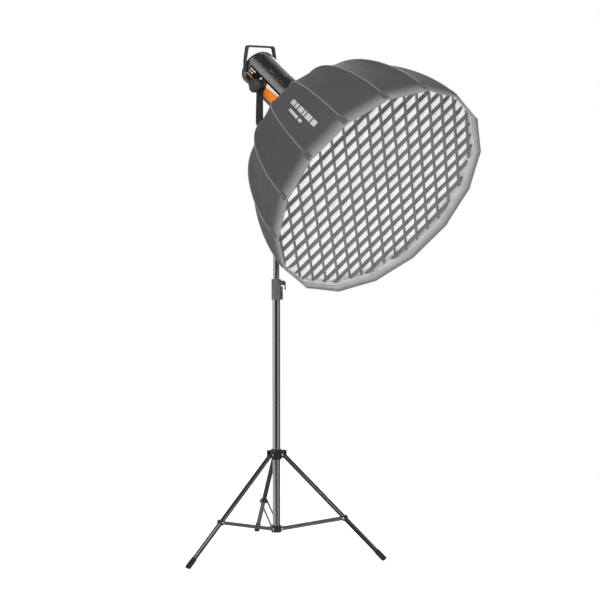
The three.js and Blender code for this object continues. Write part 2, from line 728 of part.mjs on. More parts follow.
function rearPanelShape() {
  const { back, front, radius } = REAR_PANEL;
  const beyond = { back: back - 1, front: front + 1 };
  const openings = [DISPLAY, SWITCH, INLET].map((control) => (
    panelBlock(control, beyond.back, beyond.front, GAP)
  ));
  const buttonHoles = Object.values(BUTTONS).map(([x, z]) => (
    beamRod(BUTTON_R + GAP, beyond.back, beyond.front, ROUND).translate(x, 0, z)
  ));
  const dialHole = beamRod(DIAL.shaftR + GAP, beyond.back, beyond.front, SMALL);
  return cut(
    solid(beamRod(radius, back, front, FINE)),
    ...openings,
    ...buttonHoles,
    dialHole.translate(DIAL.x, 0, DIAL.z),
  );
}

function dialShape() {
  const panelBack = atBeam(REAR_PANEL.back);
  const { radius, shaftR } = DIAL;
  return solid(turned([
    [0, panelBack - 8],
    [shaftR, panelBack - 8],
    [shaftR, panelBack + GAP],
    [radius, panelBack + GAP],
    [radius, panelBack + 10],
    [radius - 1.5, panelBack + 12],
    [0, panelBack + 12],
  ], ROUND));
}

function inletShape() {
  const socket = { ...INLET, width: INLET.width - 8, height: INLET.height - 8 };
  const body = solid(panelBlock(INLET, REAR_PANEL.back - 1, REAR_PANEL.front + 18));
  const recess = panelBlock(socket, REAR_PANEL.back - 2, REAR_PANEL.front + 14);
  const blades = [-8, 0, 8].map((offset) => panelBlock(
    { x: INLET.x + offset, z: INLET.z + (offset === 0 ? 3 : -2), width: 1.8, height: 4 },
    REAR_PANEL.back + 9,
    REAR_PANEL.front + 15,
  ));
  return cut(body, recess).add(joined(...blades));
}

// The rocker is drawn in its off position, rolled about the middle of its own width.
const ROCKER_ROLL = degrees(7);

function rockerShape() {
  const width = SWITCH.width - 1;
  const half = SWITCH.height / 2 - 0.6;
  const outline = shapeOf([[-half, -3], [half, -3], [half, 3.2], [0, 2.2], [-half, 3.2]]);
  const rocker = new THREE.ExtrudeGeometry(outline, { depth: width, bevelEnabled: false });
  return solid(rocker.translate(0, 0, -width / 2).rotateY(-Math.PI / 2).rotateX(ROCKER_ROLL));
}

add(head, "rear_panel", rearPanelShape(), MATERIALS.blackPlastic);
add(head, "display", solid(panelBlock(DISPLAY, -133.4, -129)), MATERIALS.screen);
const dial = add(head, "dial", dialShape(), MATERIALS.blackPlastic);
dial.position.set(DIAL.x, 0, DIAL.z);
for (const [name, [x, z]] of Object.entries(BUTTONS)) {
  const button = add(head, name, solid(beamRod(BUTTON_R, -136, -128, ROUND)), MATERIALS.rubber);
  button.position.set(x, 0, z);
}
const rocker = add(head, "power_switch", rockerShape(), MATERIALS.blackPlastic);
rocker.position.set(SWITCH.x, atBeam(REAR_PANEL.back) - 1, SWITCH.z);
add(head, "mains_inlet", inletShape(), MATERIALS.blackPlastic);

// --- inside the housing -----------------------------------------------------------------------

const FAN = { back: -102, front: -86, frame: 80, bore: 37.5, blade: 36.5, hub: 13, blades: 7 };
const CHASSIS = { back: -78, front: 128, halfWidth: 46, z: -38, thickness: 2 };

function fanFrameShape() {
  const half = FAN.frame / 2;
  const frame = solid(block([-half, half], [atBeam(FAN.front), atBeam(FAN.back)], [-half, half]));
  const tunnel = beamRod(FAN.bore, FAN.back + 3, FAN.front + 1, ROUND);
  const inlet = beamRing(16, FAN.bore, FAN.back - 1, FAN.back + 4, ROUND);
  const spokes = [0, 1, 2].map((i) => (
    radialBlock((i * 2 * Math.PI) / 3, 4, FAN.back, FAN.back + 3, 14, FAN.bore + 1)
  ));
  return cut(frame, tunnel, inlet).add(joined(...spokes));
}

function fanRotorShape() {
  const back = FAN.back + 3 + GAP;
  const blades = Array.from({ length: FAN.blades }, (_, i) => {
    const blade = block([FAN.hub - 2, FAN.blade], [-5, 5], [-0.8, 0.8]).rotateX(degrees(40));
    blade.translate(0, atBeam((back + FAN.front) / 2), 0);
    return blade.rotateY((i * 2 * Math.PI) / FAN.blades);
  });
  return joined(beamRod(FAN.hub, back, FAN.front, ROUND), ...blades);
}

function chassisShape() {
  const { back, front, halfWidth, z, thickness } = CHASSIS;
  const along = [atBeam(front), atBeam(back)];
  const upstand = [-1, 1].map((side) => {
    const x = [side * (halfWidth - thickness), side * halfWidth].sort((a, b) => a - b);
    return block(x, along, [z, z + 10]);
  });
  return joined(block([-halfWidth, halfWidth], along, [z, z + thickness]), ...upstand);
}

function circuitBoardShape() {
  const base = CHASSIS.z + CHASSIS.thickness + 4;
  const top = base + 1.6;
  const partsOnBoard = [
    block([-30, -10], [-60, -20], [top - 0.5, top + 12]),
    block([8, 32], [-50, -28], [top - 0.5, top + 8]),
    block([-28, -6], [20, 44], [top - 0.5, top + 14]),
    rod(6, 10, 40, SMALL).translate(22, 0, top + 5.5),
  ];
  const standoffs = [[-36, -90], [36, -90], [-36, 60], [36, 60]].map(([x, y]) => (
    ontoZ(rod(3, base - 4 + GAP, base + 0.5, 10)).translate(x, y, 0)
  ));
  return joined(block([-40, 40], [-100, 70], [base, top]), ...partsOnBoard, ...standoffs);
}

add(head, "fan_frame", fanFrameShape(), MATERIALS.blackPlastic);
add(head, "fan_rotor", fanRotorShape(), MATERIALS.blackPlastic);
add(head, "chassis", chassisShape(), MATERIALS.aluminium);
add(head, "circuit_board", circuitBoardShape(), MATERIALS.board);
const capacitor = add(head, "flash_capacitor", solid(beamRod(26, -70, 40, ROUND)), MATERIALS.darkPaint);
capacitor.position.z = 18;

// --- lamp end ---------------------------------------------------------------------------------

const REFLECTOR = { back: 132, front: 135, radius: 66 };
const LAMP_R = 8;
const TUBE_RING_R = 27;
const TUBE_R = 3.5;
const DOME = { back: 137, cylinder: 165, radius: 44, wall: 2 };

function reflectorPlateShape() {
  const { back, front, radius } = REFLECTOR;
  const plate = solid(beamRod(radius, back, front, FINE));
  return cut(plate, beamRod(LAMP_R + GAP, back - 1, front + 1, ROUND));
}

// The flash tube is an open glass ring on two straight legs.
function flashTubeShape() {
  const legFoot = REFLECTOR.front + GAP;
  const ringAt = 158;
  const points = [];
  const openHalf = degrees(20);
  const turns = 24;
  for (let i = 0; i <= turns; i += 1) {
    const angle = openHalf + ((2 * Math.PI - 2 * openHalf) * i) / turns;
    points.push([TUBE_RING_R * Math.cos(angle), ringAt, TUBE_RING_R * Math.sin(angle)]);
  }
  const first = points[0];
  const last = points[turns];
  points.unshift([first[0], legFoot, first[2]], [first[0], ringAt - 8, first[2]]);
  points.push([last[0], ringAt - 8, last[2]], [last[0], legFoot, last[2]]);
  const path = new THREE.CatmullRomCurve3(
    points.map(([x, along, z]) => new THREE.Vector3(x, atBeam(along), z)),
    false,
    "catmullrom",
    0.2,
  );
  const section = new THREE.Shape();
  section.absarc(0, 0, TUBE_R, 0, 2 * Math.PI, false);
  return solid(new THREE.ExtrudeGeometry(section, {
    steps: 30, extrudePath: path, curveSegments: 3,
  }));
}

function modellingLampShape() {
  const seat = REFLECTOR.back - 8;
  const bulb = Array.from({ length: 7 }, (_, i) => {
    const angle = degrees(35 + (i * 145) / 6);
    return [12 * Math.sin(angle), atBeam(172 - 12 * Math.cos(angle))];
  });
  bulb[6][0] = 0;
  return solid(turned([[0, atBeam(seat)], [LAMP_R, atBeam(seat)], [LAMP_R, atBeam(150)], ...bulb], ROUND));
}

function domeCurve(radius) {
  return Array.from({ length: 6 }, (_, i) => {
    const angle = degrees(i * 18);
    return [radius * Math.cos(angle), atBeam(DOME.cylinder + radius * Math.sin(angle))];
  });
}

function glassDomeShape() {
  const inner = DOME.radius - DOME.wall;
  const outerCurve = domeCurve(DOME.radius);
  const innerCurve = domeCurve(inner).reverse();
  outerCurve[5][0] = 0;
  innerCurve[0][0] = 0;
  return solid(turned([
    ...innerCurve,
    [inner, atBeam(DOME.back)],
    [DOME.radius, atBeam(DOME.back)],
    ...outerCurve,
  ], ROUND));
}

// The bayonet: three tabs on the speed ring, in a groove behind three entry slots in the front ring.
const BAYONET = { groove: [158.6, 163], grooveR: 61.7, tab: [159, 162.6], tabR: 61.2, collarR: 57.7 };
const TAB_TURNS = [90, 210, 330].map(degrees);
const ENTRY_SHIFT = degrees(35);
const LATCH = { halfWidth: 7, bottom: -78, top: -64, back: 143, front: 155, travel: 5 };

function frontRingShape() {
  const { back, front, inner } = FRONT_RING;
  const entries = TAB_TURNS.map((turn) => (
    radialBlock(turn + ENTRY_SHIFT, 27, BAYONET.groove[0], front + 1, 50, BAYONET.grooveR)
  ));
  const latchWay = block(
    [-LATCH.halfWidth - GAP, LATCH.halfWidth + GAP],
    [atBeam(LATCH.front + LATCH.travel + GAP), atBeam(LATCH.back - GAP)],
    [-BODY_R - 2, LATCH.top + GAP],
  );
  return cut(
    solid(beamRing(inner, BODY_R, back, front)),
    beamRing(inner - 2, BAYONET.grooveR, ...BAYONET.groove, FINE),
    latchWay,
    ...entries,
  );
}

function latchShape() {
  const { halfWidth, bottom, top, back, front } = LATCH;
  const slider = [atBeam(front), atBeam(back)];
  const thumb = [atBeam(front - 4), atBeam(back + 4)];
  return joined(
    block([-halfWidth, halfWidth], slider, [bottom + 4, top]),
    block([-halfWidth, halfWidth], thumb, [bottom, bottom + 5]),
  );
}

const SPEED_RING = { back: 166, front: 176, inner: 53, outer: 79 };

function speedRingShape() {
  const { back, front, inner, outer } = SPEED_RING;
  const tabs = TAB_TURNS.map((turn) => radialBlock(turn, 22, ...BAYONET.tab, 55, BAYONET.tabR - 1));
  return joined(
    beamRing(inner, outer, back, front, FINE),
    beamRing(inner, BAYONET.collarR, 157, back + 1, FINE),
    ...tabs,
  );
}

add(head, "reflector_plate", reflectorPlateShape(), MATERIALS.aluminium);
add(head, "flash_tube", flashTubeShape(), MATERIALS.glass);
add(head, "modelling_lamp", modellingLampShape(), MATERIALS.glass);
add(head, "glass_dome", glassDomeShape(), MATERIALS.glass);
add(head, "front_ring", frontRingShape(), MATERIALS.bodyPaint);
add(head, "mount_latch", latchShape(), MATERIALS.blackPlastic);
add(head, "speed_ring", speedRingShape(), MATERIALS.darkPaint);

// --- softbox ----------------------------------------------------------------------------------

const NECK_SWEEP = Math.asin(NECK.radius / RIB_END.radius);

// A rib is nearly a quarter of an ellipse, fuller in its first half and flatter in its second. It runs
// from the neck at a small sweep angle to its end at 90 degrees. inset moves it towards the inside.
function ribPoint(sweep, inset = 0) {
  const share = (sweep - NECK_SWEEP) / (Math.PI / 2 - NECK_SWEEP);
  const bow = RIB_BOW * Math.sin(2 * Math.PI * share);
  const normal = new THREE.Vector2(Math.sin(sweep) / RIB_END.radius, -Math.cos(sweep) / RIB_DEPTH);
  normal.normalize().multiplyScalar(inset - bow);
  const radius = RIB_END.radius * Math.sin(sweep);
  const along = RIB_END.along - RIB_DEPTH * Math.cos(sweep);
  return [radius - normal.x, along - normal.y];
}

function ribCurve(steps, inset, from, to) {
  return Array.from({ length: steps + 1 }, (_, i) => ribPoint(from + ((to - from) * i) / steps, inset));
}

function softboxShellShape() {
  const steps = 11;
  const quarter = Math.PI / 2;
  const outside = ribCurve(steps, 0, NECK_SWEEP, quarter);
  const inside = ribCurve(steps, FABRIC, NECK_SWEEP, quarter).reverse();
  const neckInside = NECK.radius - FABRIC;
  inside.pop();
  return solid(sixteenSided([
    [NECK.radius, NECK.back],
    ...outside,
    [LIP_RADIUS, LIP_FRONT],
    [LIP_RADIUS - FABRIC, LIP_FRONT],
    ...inside,
    [neckInside, NECK.back + 12],
    [neckInside, NECK.back],
    [NECK.radius, NECK.back],
  ]));
}

// Sixteen sprung steel ribs, rooted in one ring in front of the speed ring.
function ribCageShape() {
  const rootRing = [184, 188];
  const curve = ribCurve(8, 9, degrees(19), degrees(87.2));
  const route = [[64, 186], ...curve].map(([r, along]) => new THREE.Vector3(r, atBeam(along), 0));
  const path = new THREE.CatmullRomCurve3(route);
  const section = new THREE.Shape();
  section.absarc(0, 0, 2.4, 0, 2 * Math.PI, false);
  const rib = new THREE.ExtrudeGeometry(section, {
    steps: 8, extrudePath: path, curveSegments: 2,
  });
  const ribs = Array.from({ length: RIB_COUNT }, (_, i) => (
    rib.clone().rotateY(-RIB_PHASE - (i * 2 * Math.PI) / RIB_COUNT)
  ));
  return joined(beamRing(58, 74, ...rootRing, ROUND), ...ribs);
}

function disc(radius, back, front) {
  return solid(sixteenSided([[0, back], [radius, back], [radius, front], [0, front]]));
}

// The point of the grid's plane at one distance across each family of strips.
function crossing(acrossFirst, acrossSecond) {
  const [u, v] = GRID_FAMILIES.map(({ direction }) => [-Math.sin(direction), Math.cos(direction)]);
  const scale = u[0] * v[1] - u[1] * v[0];
  return [
    (acrossFirst * v[1] - acrossSecond * u[1]) / scale,
    (acrossSecond * u[0] - acrossFirst * v[0]) / scale,
  ];
}

// Two families of parallel strips cross at a slant, inside a border: a plate pierced by its cells.
function gridShape() {
  const cellDepth = GRID.front - GRID.back + 4;
  const inner = GRID.outer - GRID.border;
  const middle = atBeam((GRID.front + GRID.back) / 2);
  const spans = GRID_FAMILIES.map(({ pitch, count }) => (
    Array.from({ length: count + 1 }, (_, i) => {
      const from = (i - (count + 1) / 2) * pitch + GRID.strip / 2;
      return [from, from + pitch - GRID.strip];
    })
  ));
  const cells = spans[0].flatMap(([a, b]) => spans[1].map(([c, d]) => (
    [crossing(a, c), crossing(b, c), crossing(b, d), crossing(a, d)]
  )));
  const openCells = cells.filter((corners) => (
    corners.some(([x, z]) => Math.hypot(x, z) < inner - GRID.border)
  ));
  const prisms = openCells.map((corners) => sideways(shapeOf(corners), cellDepth).translate(0, middle, 0));
  const clip = disc(inner, GRID.back - 1, GRID.front + 1);
  return disc(GRID.outer, GRID.back, GRID.front).subtract(joined(...prisms).intersect(clip));
}

add(head, "softbox_shell", softboxShellShape(), MATERIALS.fabric);
add(head, "rib_cage", ribCageShape(), MATERIALS.spring);
add(head, "inner_diffuser", disc(366, 429, 431), MATERIALS.diffuser);
add(head, "front_diffuser", disc(442, 660, 662), MATERIALS.diffuser);
add(head, "honeycomb_grid", gridShape(), MATERIALS.gridFabric);

// --- origin -----------------------------------------------------------------------------------

strobe.updateMatrixWorld(true);
const bounds = new THREE.Box3().setFromObject(strobe, true);
const centre = bounds.getCenter(new THREE.Vector3());
strobe.position.set(-centre.x, -centre.y, -bounds.min.z);

export default strobe;
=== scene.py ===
"""The looks of a studio strobe head with a deep gridded softbox, on a folding three-leg stand."""

import json
from math import asin, atan2, cos, exp, hypot, pi, radians, sin, sqrt

import bmesh
import bpy
from mathutils import Matrix, Vector, noise

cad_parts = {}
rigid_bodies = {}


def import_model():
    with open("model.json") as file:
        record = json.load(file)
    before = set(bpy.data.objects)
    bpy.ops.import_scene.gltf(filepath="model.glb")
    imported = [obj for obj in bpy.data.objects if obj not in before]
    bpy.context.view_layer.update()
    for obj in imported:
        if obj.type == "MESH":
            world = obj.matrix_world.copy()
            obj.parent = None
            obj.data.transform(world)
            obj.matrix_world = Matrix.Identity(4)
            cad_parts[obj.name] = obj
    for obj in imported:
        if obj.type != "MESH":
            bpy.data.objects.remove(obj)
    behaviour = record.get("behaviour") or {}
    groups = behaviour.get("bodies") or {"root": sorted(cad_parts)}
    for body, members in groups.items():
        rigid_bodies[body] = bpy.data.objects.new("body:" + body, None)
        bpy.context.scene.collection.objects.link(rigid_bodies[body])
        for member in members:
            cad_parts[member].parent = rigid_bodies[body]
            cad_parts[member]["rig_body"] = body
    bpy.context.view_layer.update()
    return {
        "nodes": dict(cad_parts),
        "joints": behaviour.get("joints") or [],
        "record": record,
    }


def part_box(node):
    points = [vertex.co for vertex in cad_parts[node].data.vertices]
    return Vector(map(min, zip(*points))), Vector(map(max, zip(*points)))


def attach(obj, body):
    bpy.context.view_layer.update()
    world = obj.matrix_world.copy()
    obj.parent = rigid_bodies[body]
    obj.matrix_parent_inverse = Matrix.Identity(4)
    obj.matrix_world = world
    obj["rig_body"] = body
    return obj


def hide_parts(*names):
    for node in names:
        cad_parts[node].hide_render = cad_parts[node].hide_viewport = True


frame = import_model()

MM = 0.001
TAU = 2 * pi
joints = {joint["name"]: joint for joint in frame["joints"]}
slots = {part["node"]: part["material_slot"] for part in frame["record"]["subparts"]}

tilt_at = Vector(joints["head_tilt"]["pos_m"])
beam = Vector(joints["softbox_twist"]["axis"]).normalized()
across = Vector((1, 0, 0))
# The head's own frame: X across, Y towards its top, Z along the beam from the tilt axis.
HEAD = Matrix.Translation(tilt_at) @ Matrix((across, beam.cross(across), beam)).transposed().to_4x4()

# --- camera, light and floor ---

scene = bpy.context.scene
CAMERA_AT = Vector((-4.7337, -5.3086, 1.541))
CAMERA_LOOKS_AT = Vector((0.0779, 0.1612, 1.0004))


def linked(name, data):
    obj = bpy.data.objects.new(name, data)
    scene.collection.objects.link(obj)
    return obj


def aimed(origin, target):
    """A transform at origin whose -Z looks at the target."""
    turn = (target - origin).to_track_quat("-Z", "Y")
    return Matrix.Translation(origin) @ turn.to_matrix().to_4x4()


camera = linked("camera", bpy.data.cameras.new("camera"))
camera.data.sensor_width = 36
camera.data.lens = 112.2
camera.data.clip_end = 100
camera.matrix_world = aimed(CAMERA_AT, CAMERA_LOOKS_AT)
scene.camera = camera
scene.view_settings.view_transform = "Standard"


LIGHTS_LOOK_AT = Vector((0, 0, 1.2))


def area_light(name, origin, size, power):
    data = bpy.data.lights.new(name, "AREA")
    data.shape = "RECTANGLE"
    data.size, data.size_y = size
    data.energy = power
    linked(name, data).matrix_world = aimed(Vector(origin), LIGHTS_LOOK_AT)


area_light("key", (-4.3, -3.5, 4.0), (2.4, 2.4), 165)
area_light("fill", (2.6, -5.0, 2.6), (2.2, 3.0), 70)
area_light("rim", (3.4, 3.4, 3.2), (1.6, 3.0), 40)


# --- procedural materials ---


class Look:
    """A Principled material and the nodes that feed it. A number or colour goes on a socket directly."""

    def __init__(self, name, tree=None, **sockets):
        self.material = None
        if tree is None:
            self.material = bpy.data.materials.new(name)
            self.material.use_nodes = True
            tree = self.material.node_tree
        self.tree = tree
        self.shader = tree.nodes.get("Principled BSDF")
        for key, value in sockets.items():
            self.feed(key, value)

    def feed(self, key, value):
        self.put(self.shader.inputs[key.replace("_", " ")], value)

    def put(self, socket, value):
        if isinstance(value, bpy.types.NodeSocket):
            self.tree.links.new(value, socket)
        elif hasattr(value, "__len__") and len(value) == 3 and socket.type == "RGBA":
            socket.default_value = (*value, 1)
        else:
            socket.default_value = value

    def node(self, kind, output=0, inputs=(), **settings):
        made = self.tree.nodes.new(kind)
        for key, value in settings.items():
            setattr(made, key, value)
        for key, value in dict(inputs).items():
            self.put(made.inputs[key], value)
        return made.outputs[output]

    def place(self, scale=(1, 1, 1)):
        where = self.node("ShaderNodeTexCoord", "Object")
        return self.node("ShaderNodeMapping", inputs={"Vector": where, "Scale": scale})

    def share_of(self, direction, way):
        """How far a direction points along a way, from 0 for backwards to 1."""
        inputs = {0: direction, 1: way}
        dot = self.node("ShaderNodeVectorMath", "Value", inputs=inputs, operation="DOT_PRODUCT")
        return self.span(dot, -1.0, 1.0)

    def along_beam(self):
        """The distance along the beam from the tilt axis, in metres."""
        inputs = {0: self.place(), 1: beam}
        ahead = self.node("ShaderNodeVectorMath", "Value", inputs=inputs, operation="DOT_PRODUCT")
        return self.math("SUBTRACT", ahead, tilt_at.dot(beam))

    def cloth_place(self):
        return self.node("ShaderNodeUVMap", uv_map="cloth")

    def part(self, vector, axis):
        return self.node("ShaderNodeSeparateXYZ", "XYZ".index(axis), inputs={0: vector})

    def math(self, operation, a, b=0.5):
        return self.node("ShaderNodeMath", inputs={0: a, 1: b}, operation=operation)

    def noise(self, scale, detail=2.0, vector=None):
        inputs = {"Scale": scale, "Detail": detail, "Roughness": 0.55}
        inputs["Vector"] = vector or self.place()
        return self.node("ShaderNodeTexNoise", "Fac", inputs=inputs)

    def ramp(self, value, stops):
        out = self.node("ShaderNodeValToRGB", inputs={"Fac": value})
        band = out.node.color_ramp
        while len(band.elements) < len(stops):
            band.elements.new(0.5)
        for element, (at, tone) in zip(band.elements, stops):
            element.position = at
            element.color = (tone, tone, tone, 1) if isinstance(tone, float) else (*tone, 1)
        return out

    def span(self, value, low, high, to_low=0.0, to_high=1.0):
        inputs = {1: low, 2: high, 3: to_low, 4: to_high, 0: value}
        return self.node("ShaderNodeMapRange", inputs=inputs)

    def mix(self, share, a, b, blend="MIX"):
        out = self.node("ShaderNodeMix", 2, inputs={0: share}, data_type="RGBA", blend_type=blend)
        self.put(out.node.inputs[6], a)
        self.put(out.node.inputs[7], b)
        return out

    def bump(self, *heights):
        """Adds (height, strength, distance in metres) layers of relief, one over the other."""
        normal = None
        for height, strength, distance in heights:
            inputs = {"Height": height, "Strength": strength, "Distance": distance}
            if normal is not None:
                inputs["Normal"] = normal
            normal = self.node("ShaderNodeBump", inputs=inputs)
        self.feed("Normal", normal)


def shade(colour, factor):
    return tuple(min(1.0, channel * factor) for channel in colour)


def moulded(name, colour, roughness, metallic=0.0, grain=1400, depth=0.25, wear=0.0, waves=0.06, **sockets):
    """Plastic, paint or rubber: cloudy colour, uneven gloss, fine grain, and lighter worn edges."""
    look = Look(name, Metallic=metallic, **sockets)
    cloud = look.noise(14, 4)
    tone = look.ramp(cloud, [(0.3, shade(colour, 0.86)), (0.7, shade(colour, 1.16))])
    if wear:
        corner = look.span(look.node("ShaderNodeNewGeometry", "Pointiness"), 0.53, 0.6)
        scuffed = look.math("MULTIPLY", corner, look.span(look.noise(160, 4), 0.42, 0.62))
        tone = look.mix(look.math("MULTIPLY", scuffed, wear), tone, shade(colour, 3.2))
    look.feed("Base Color", tone)
    look.feed("Roughness", look.span(look.noise(55, 3), 0.3, 0.7, roughness - 0.07, roughness + 0.08))
    look.bump((look.noise(grain, 2), depth, 0.00012), (look.noise(24, 2), waves, 0.0008))
    return look.material


def livery(name, colour, roughness=0.3, **sockets):
    return moulded(name, colour, roughness, grain=300, depth=0.05, **sockets)


def drawn_metal(name, colour, roughness, axis="Z"):
    """A drawn or turned metal: fine streaks along one axis."""
    look = Look(name, Metallic=1.0)
    stretch = {"X": (3, 700, 700), "Y": (700, 3, 700), "Z": (700, 700, 3)}[axis]
    streak = look.noise(1, 3, look.place(stretch))
    look.feed("Base Color", look.ramp(streak, [(0.3, shade(colour, 0.88)), (0.7, shade(colour, 1.1))]))
    blotch = look.noise(30, 3)
    gloss = look.math("MULTIPLY", blotch, 0.1)
    look.feed("Roughness", look.math("ADD", gloss, roughness - 0.05))
    look.bump((streak, 0.05, 0.00002))
    return look.material


def weave_height(look, where, thread):
    """The relief of a plain weave whose threads lie a thread's width apart, by the cloth's own measure."""
    turns = [look.math("MULTIPLY", look.part(where, axis), pi / thread) for axis in "XY"]
    over = look.math("MULTIPLY", *[look.math("SINE", turn) for turn in turns])
    return look.math("ADD", look.math("MULTIPLY", over, 0.5), 0.5)


def woven(name, colour, thread=0.0009, roughness=0.8, sheen=0.15, crumple=0.25, **sockets):
    """Plain-woven cloth, measured by its own UV map in metres."""
    look = Look(name, **sockets)
    where = look.cloth_place()
    threads = weave_height(look, where, thread)
    cloud = look.noise(9, 4, where)
    tone = look.ramp(cloud, [(0.3, shade(colour, 0.93)), (0.7, shade(colour, 1.07))])
    look.feed("Base Color", look.mix(look.math("MULTIPLY", threads, 0.25), tone, shade(colour, 1.5)))
    look.feed("Roughness", look.span(look.noise(30, 2, where), 0.3, 0.7, roughness - 0.06, roughness + 0.06))
    look.feed("Sheen Weight", sheen)
    look.bump(
        (threads, 0.35, 0.00018),
        (look.noise(26, 3, where), crumple, 0.0016),
        (look.noise(7, 2, where), crumple, 0.004),
    )
    return look


GREY_CLOTH = (0.088, 0.0892, 0.0905)
# The pale tone the lip is painted towards: painted light, not a paler cloth.
LIP_PAINTED_GLOW = (0.47, 0.473, 0.476)
SEAM_AT = 672 * MM
LIP_FRONT = 722 * MM


def shell_cloth():
    """Coated nylon, dark at the seam. Towards the lip its colour is painted paler: a painted glow that stands
    in for light coming through the cloth there.
    """
    look = woven("shell_cloth", GREY_CLOTH, roughness=0.62, sheen=0.06)
    along = look.along_beam()
    # Painted light: the colour blends towards the pale tone along the beam, up to the lip's front edge.
    glow = look.span(along, SEAM_AT - 0.014, LIP_FRONT)
    paler = look.math("POWER", glow, 1.5)
    plain = look.shader.inputs["Base Color"].links[0].from_socket
    tone = look.mix(paler, plain, LIP_PAINTED_GLOW)
    off_seam = look.math("ABSOLUTE", look.math("SUBTRACT", along, SEAM_AT + 0.0005))
    seam = look.span(off_seam, 0.0, 0.0022, 0.55, 0.0)
    look.feed("Base Color", look.mix(seam, tone, shade(GREY_CLOTH, 0.55)))
    return look.material


def lining_cloth():
    """Pale lining with painted shade: a little darker where it meets the front edge of the lip, lighter near
    the grid.
    """
    look = woven("lining_cloth", (0.8, 0.803, 0.806), roughness=0.5, sheen=0.0)
    plain = look.shader.inputs["Base Color"].links[0].from_socket
    # Painted shade: the lining darkens towards the lip's front edge, away from the diffuser's glow.
    lip_edge_shade = look.span(look.along_beam(), LIP_FRONT - 0.034, LIP_FRONT, 0.0, 0.95)
    look.feed("Base Color", look.mix(lip_edge_shade, plain, (0.15, 0.151, 0.153)))
    return look.material


def diffuser_cloth():
    """White nylon with a painted glow: its emission stands in for the lamp's soft light behind it."""
    look = woven("diffuser_cloth", (0.86, 0.865, 0.87), thread=0.0006, crumple=0.35)
    place = look.cloth_place()
    # Painted light: an uneven emission on the cloth itself; no lamp inside the softbox gives light.
    glow = look.ramp(look.noise(5, 3, place), [(0.32, (0.78, 0.79, 0.80)), (0.68, (1.0, 1.0, 1.0))])
    look.feed("Emission Color", glow)
    look.feed("Emission Strength", 0.5)
    look.feed("Transmission Weight", 0.0)
    return look.material


def glass(name, tint):
    look = Look(name, Transmission_Weight=1.0, IOR=1.47)
    look.feed("Base Color", tint)
    look.feed("Roughness", look.span(look.noise(60, 2), 0.3, 0.8, 0.01, 0.06))
    return look.material


def screen_glass():
    """A dark display window with a faint dot matrix under it."""
    look = Look("screen_glass", Coat_Weight=1.0, Coat_Roughness=0.05)
    where = look.place((900, 900, 900))
    dots = look.node("ShaderNodeTexVoronoi", "Distance", inputs={"Vector": where, "Scale": 1.0})
    look.feed("Base Color", look.ramp(dots, [(0.2, (0.012, 0.03, 0.04)), (0.5, (0.004, 0.009, 0.012))]))
    look.feed("Roughness", look.span(look.noise(200, 2), 0.3, 0.7, 0.1, 0.2))
    return look.material


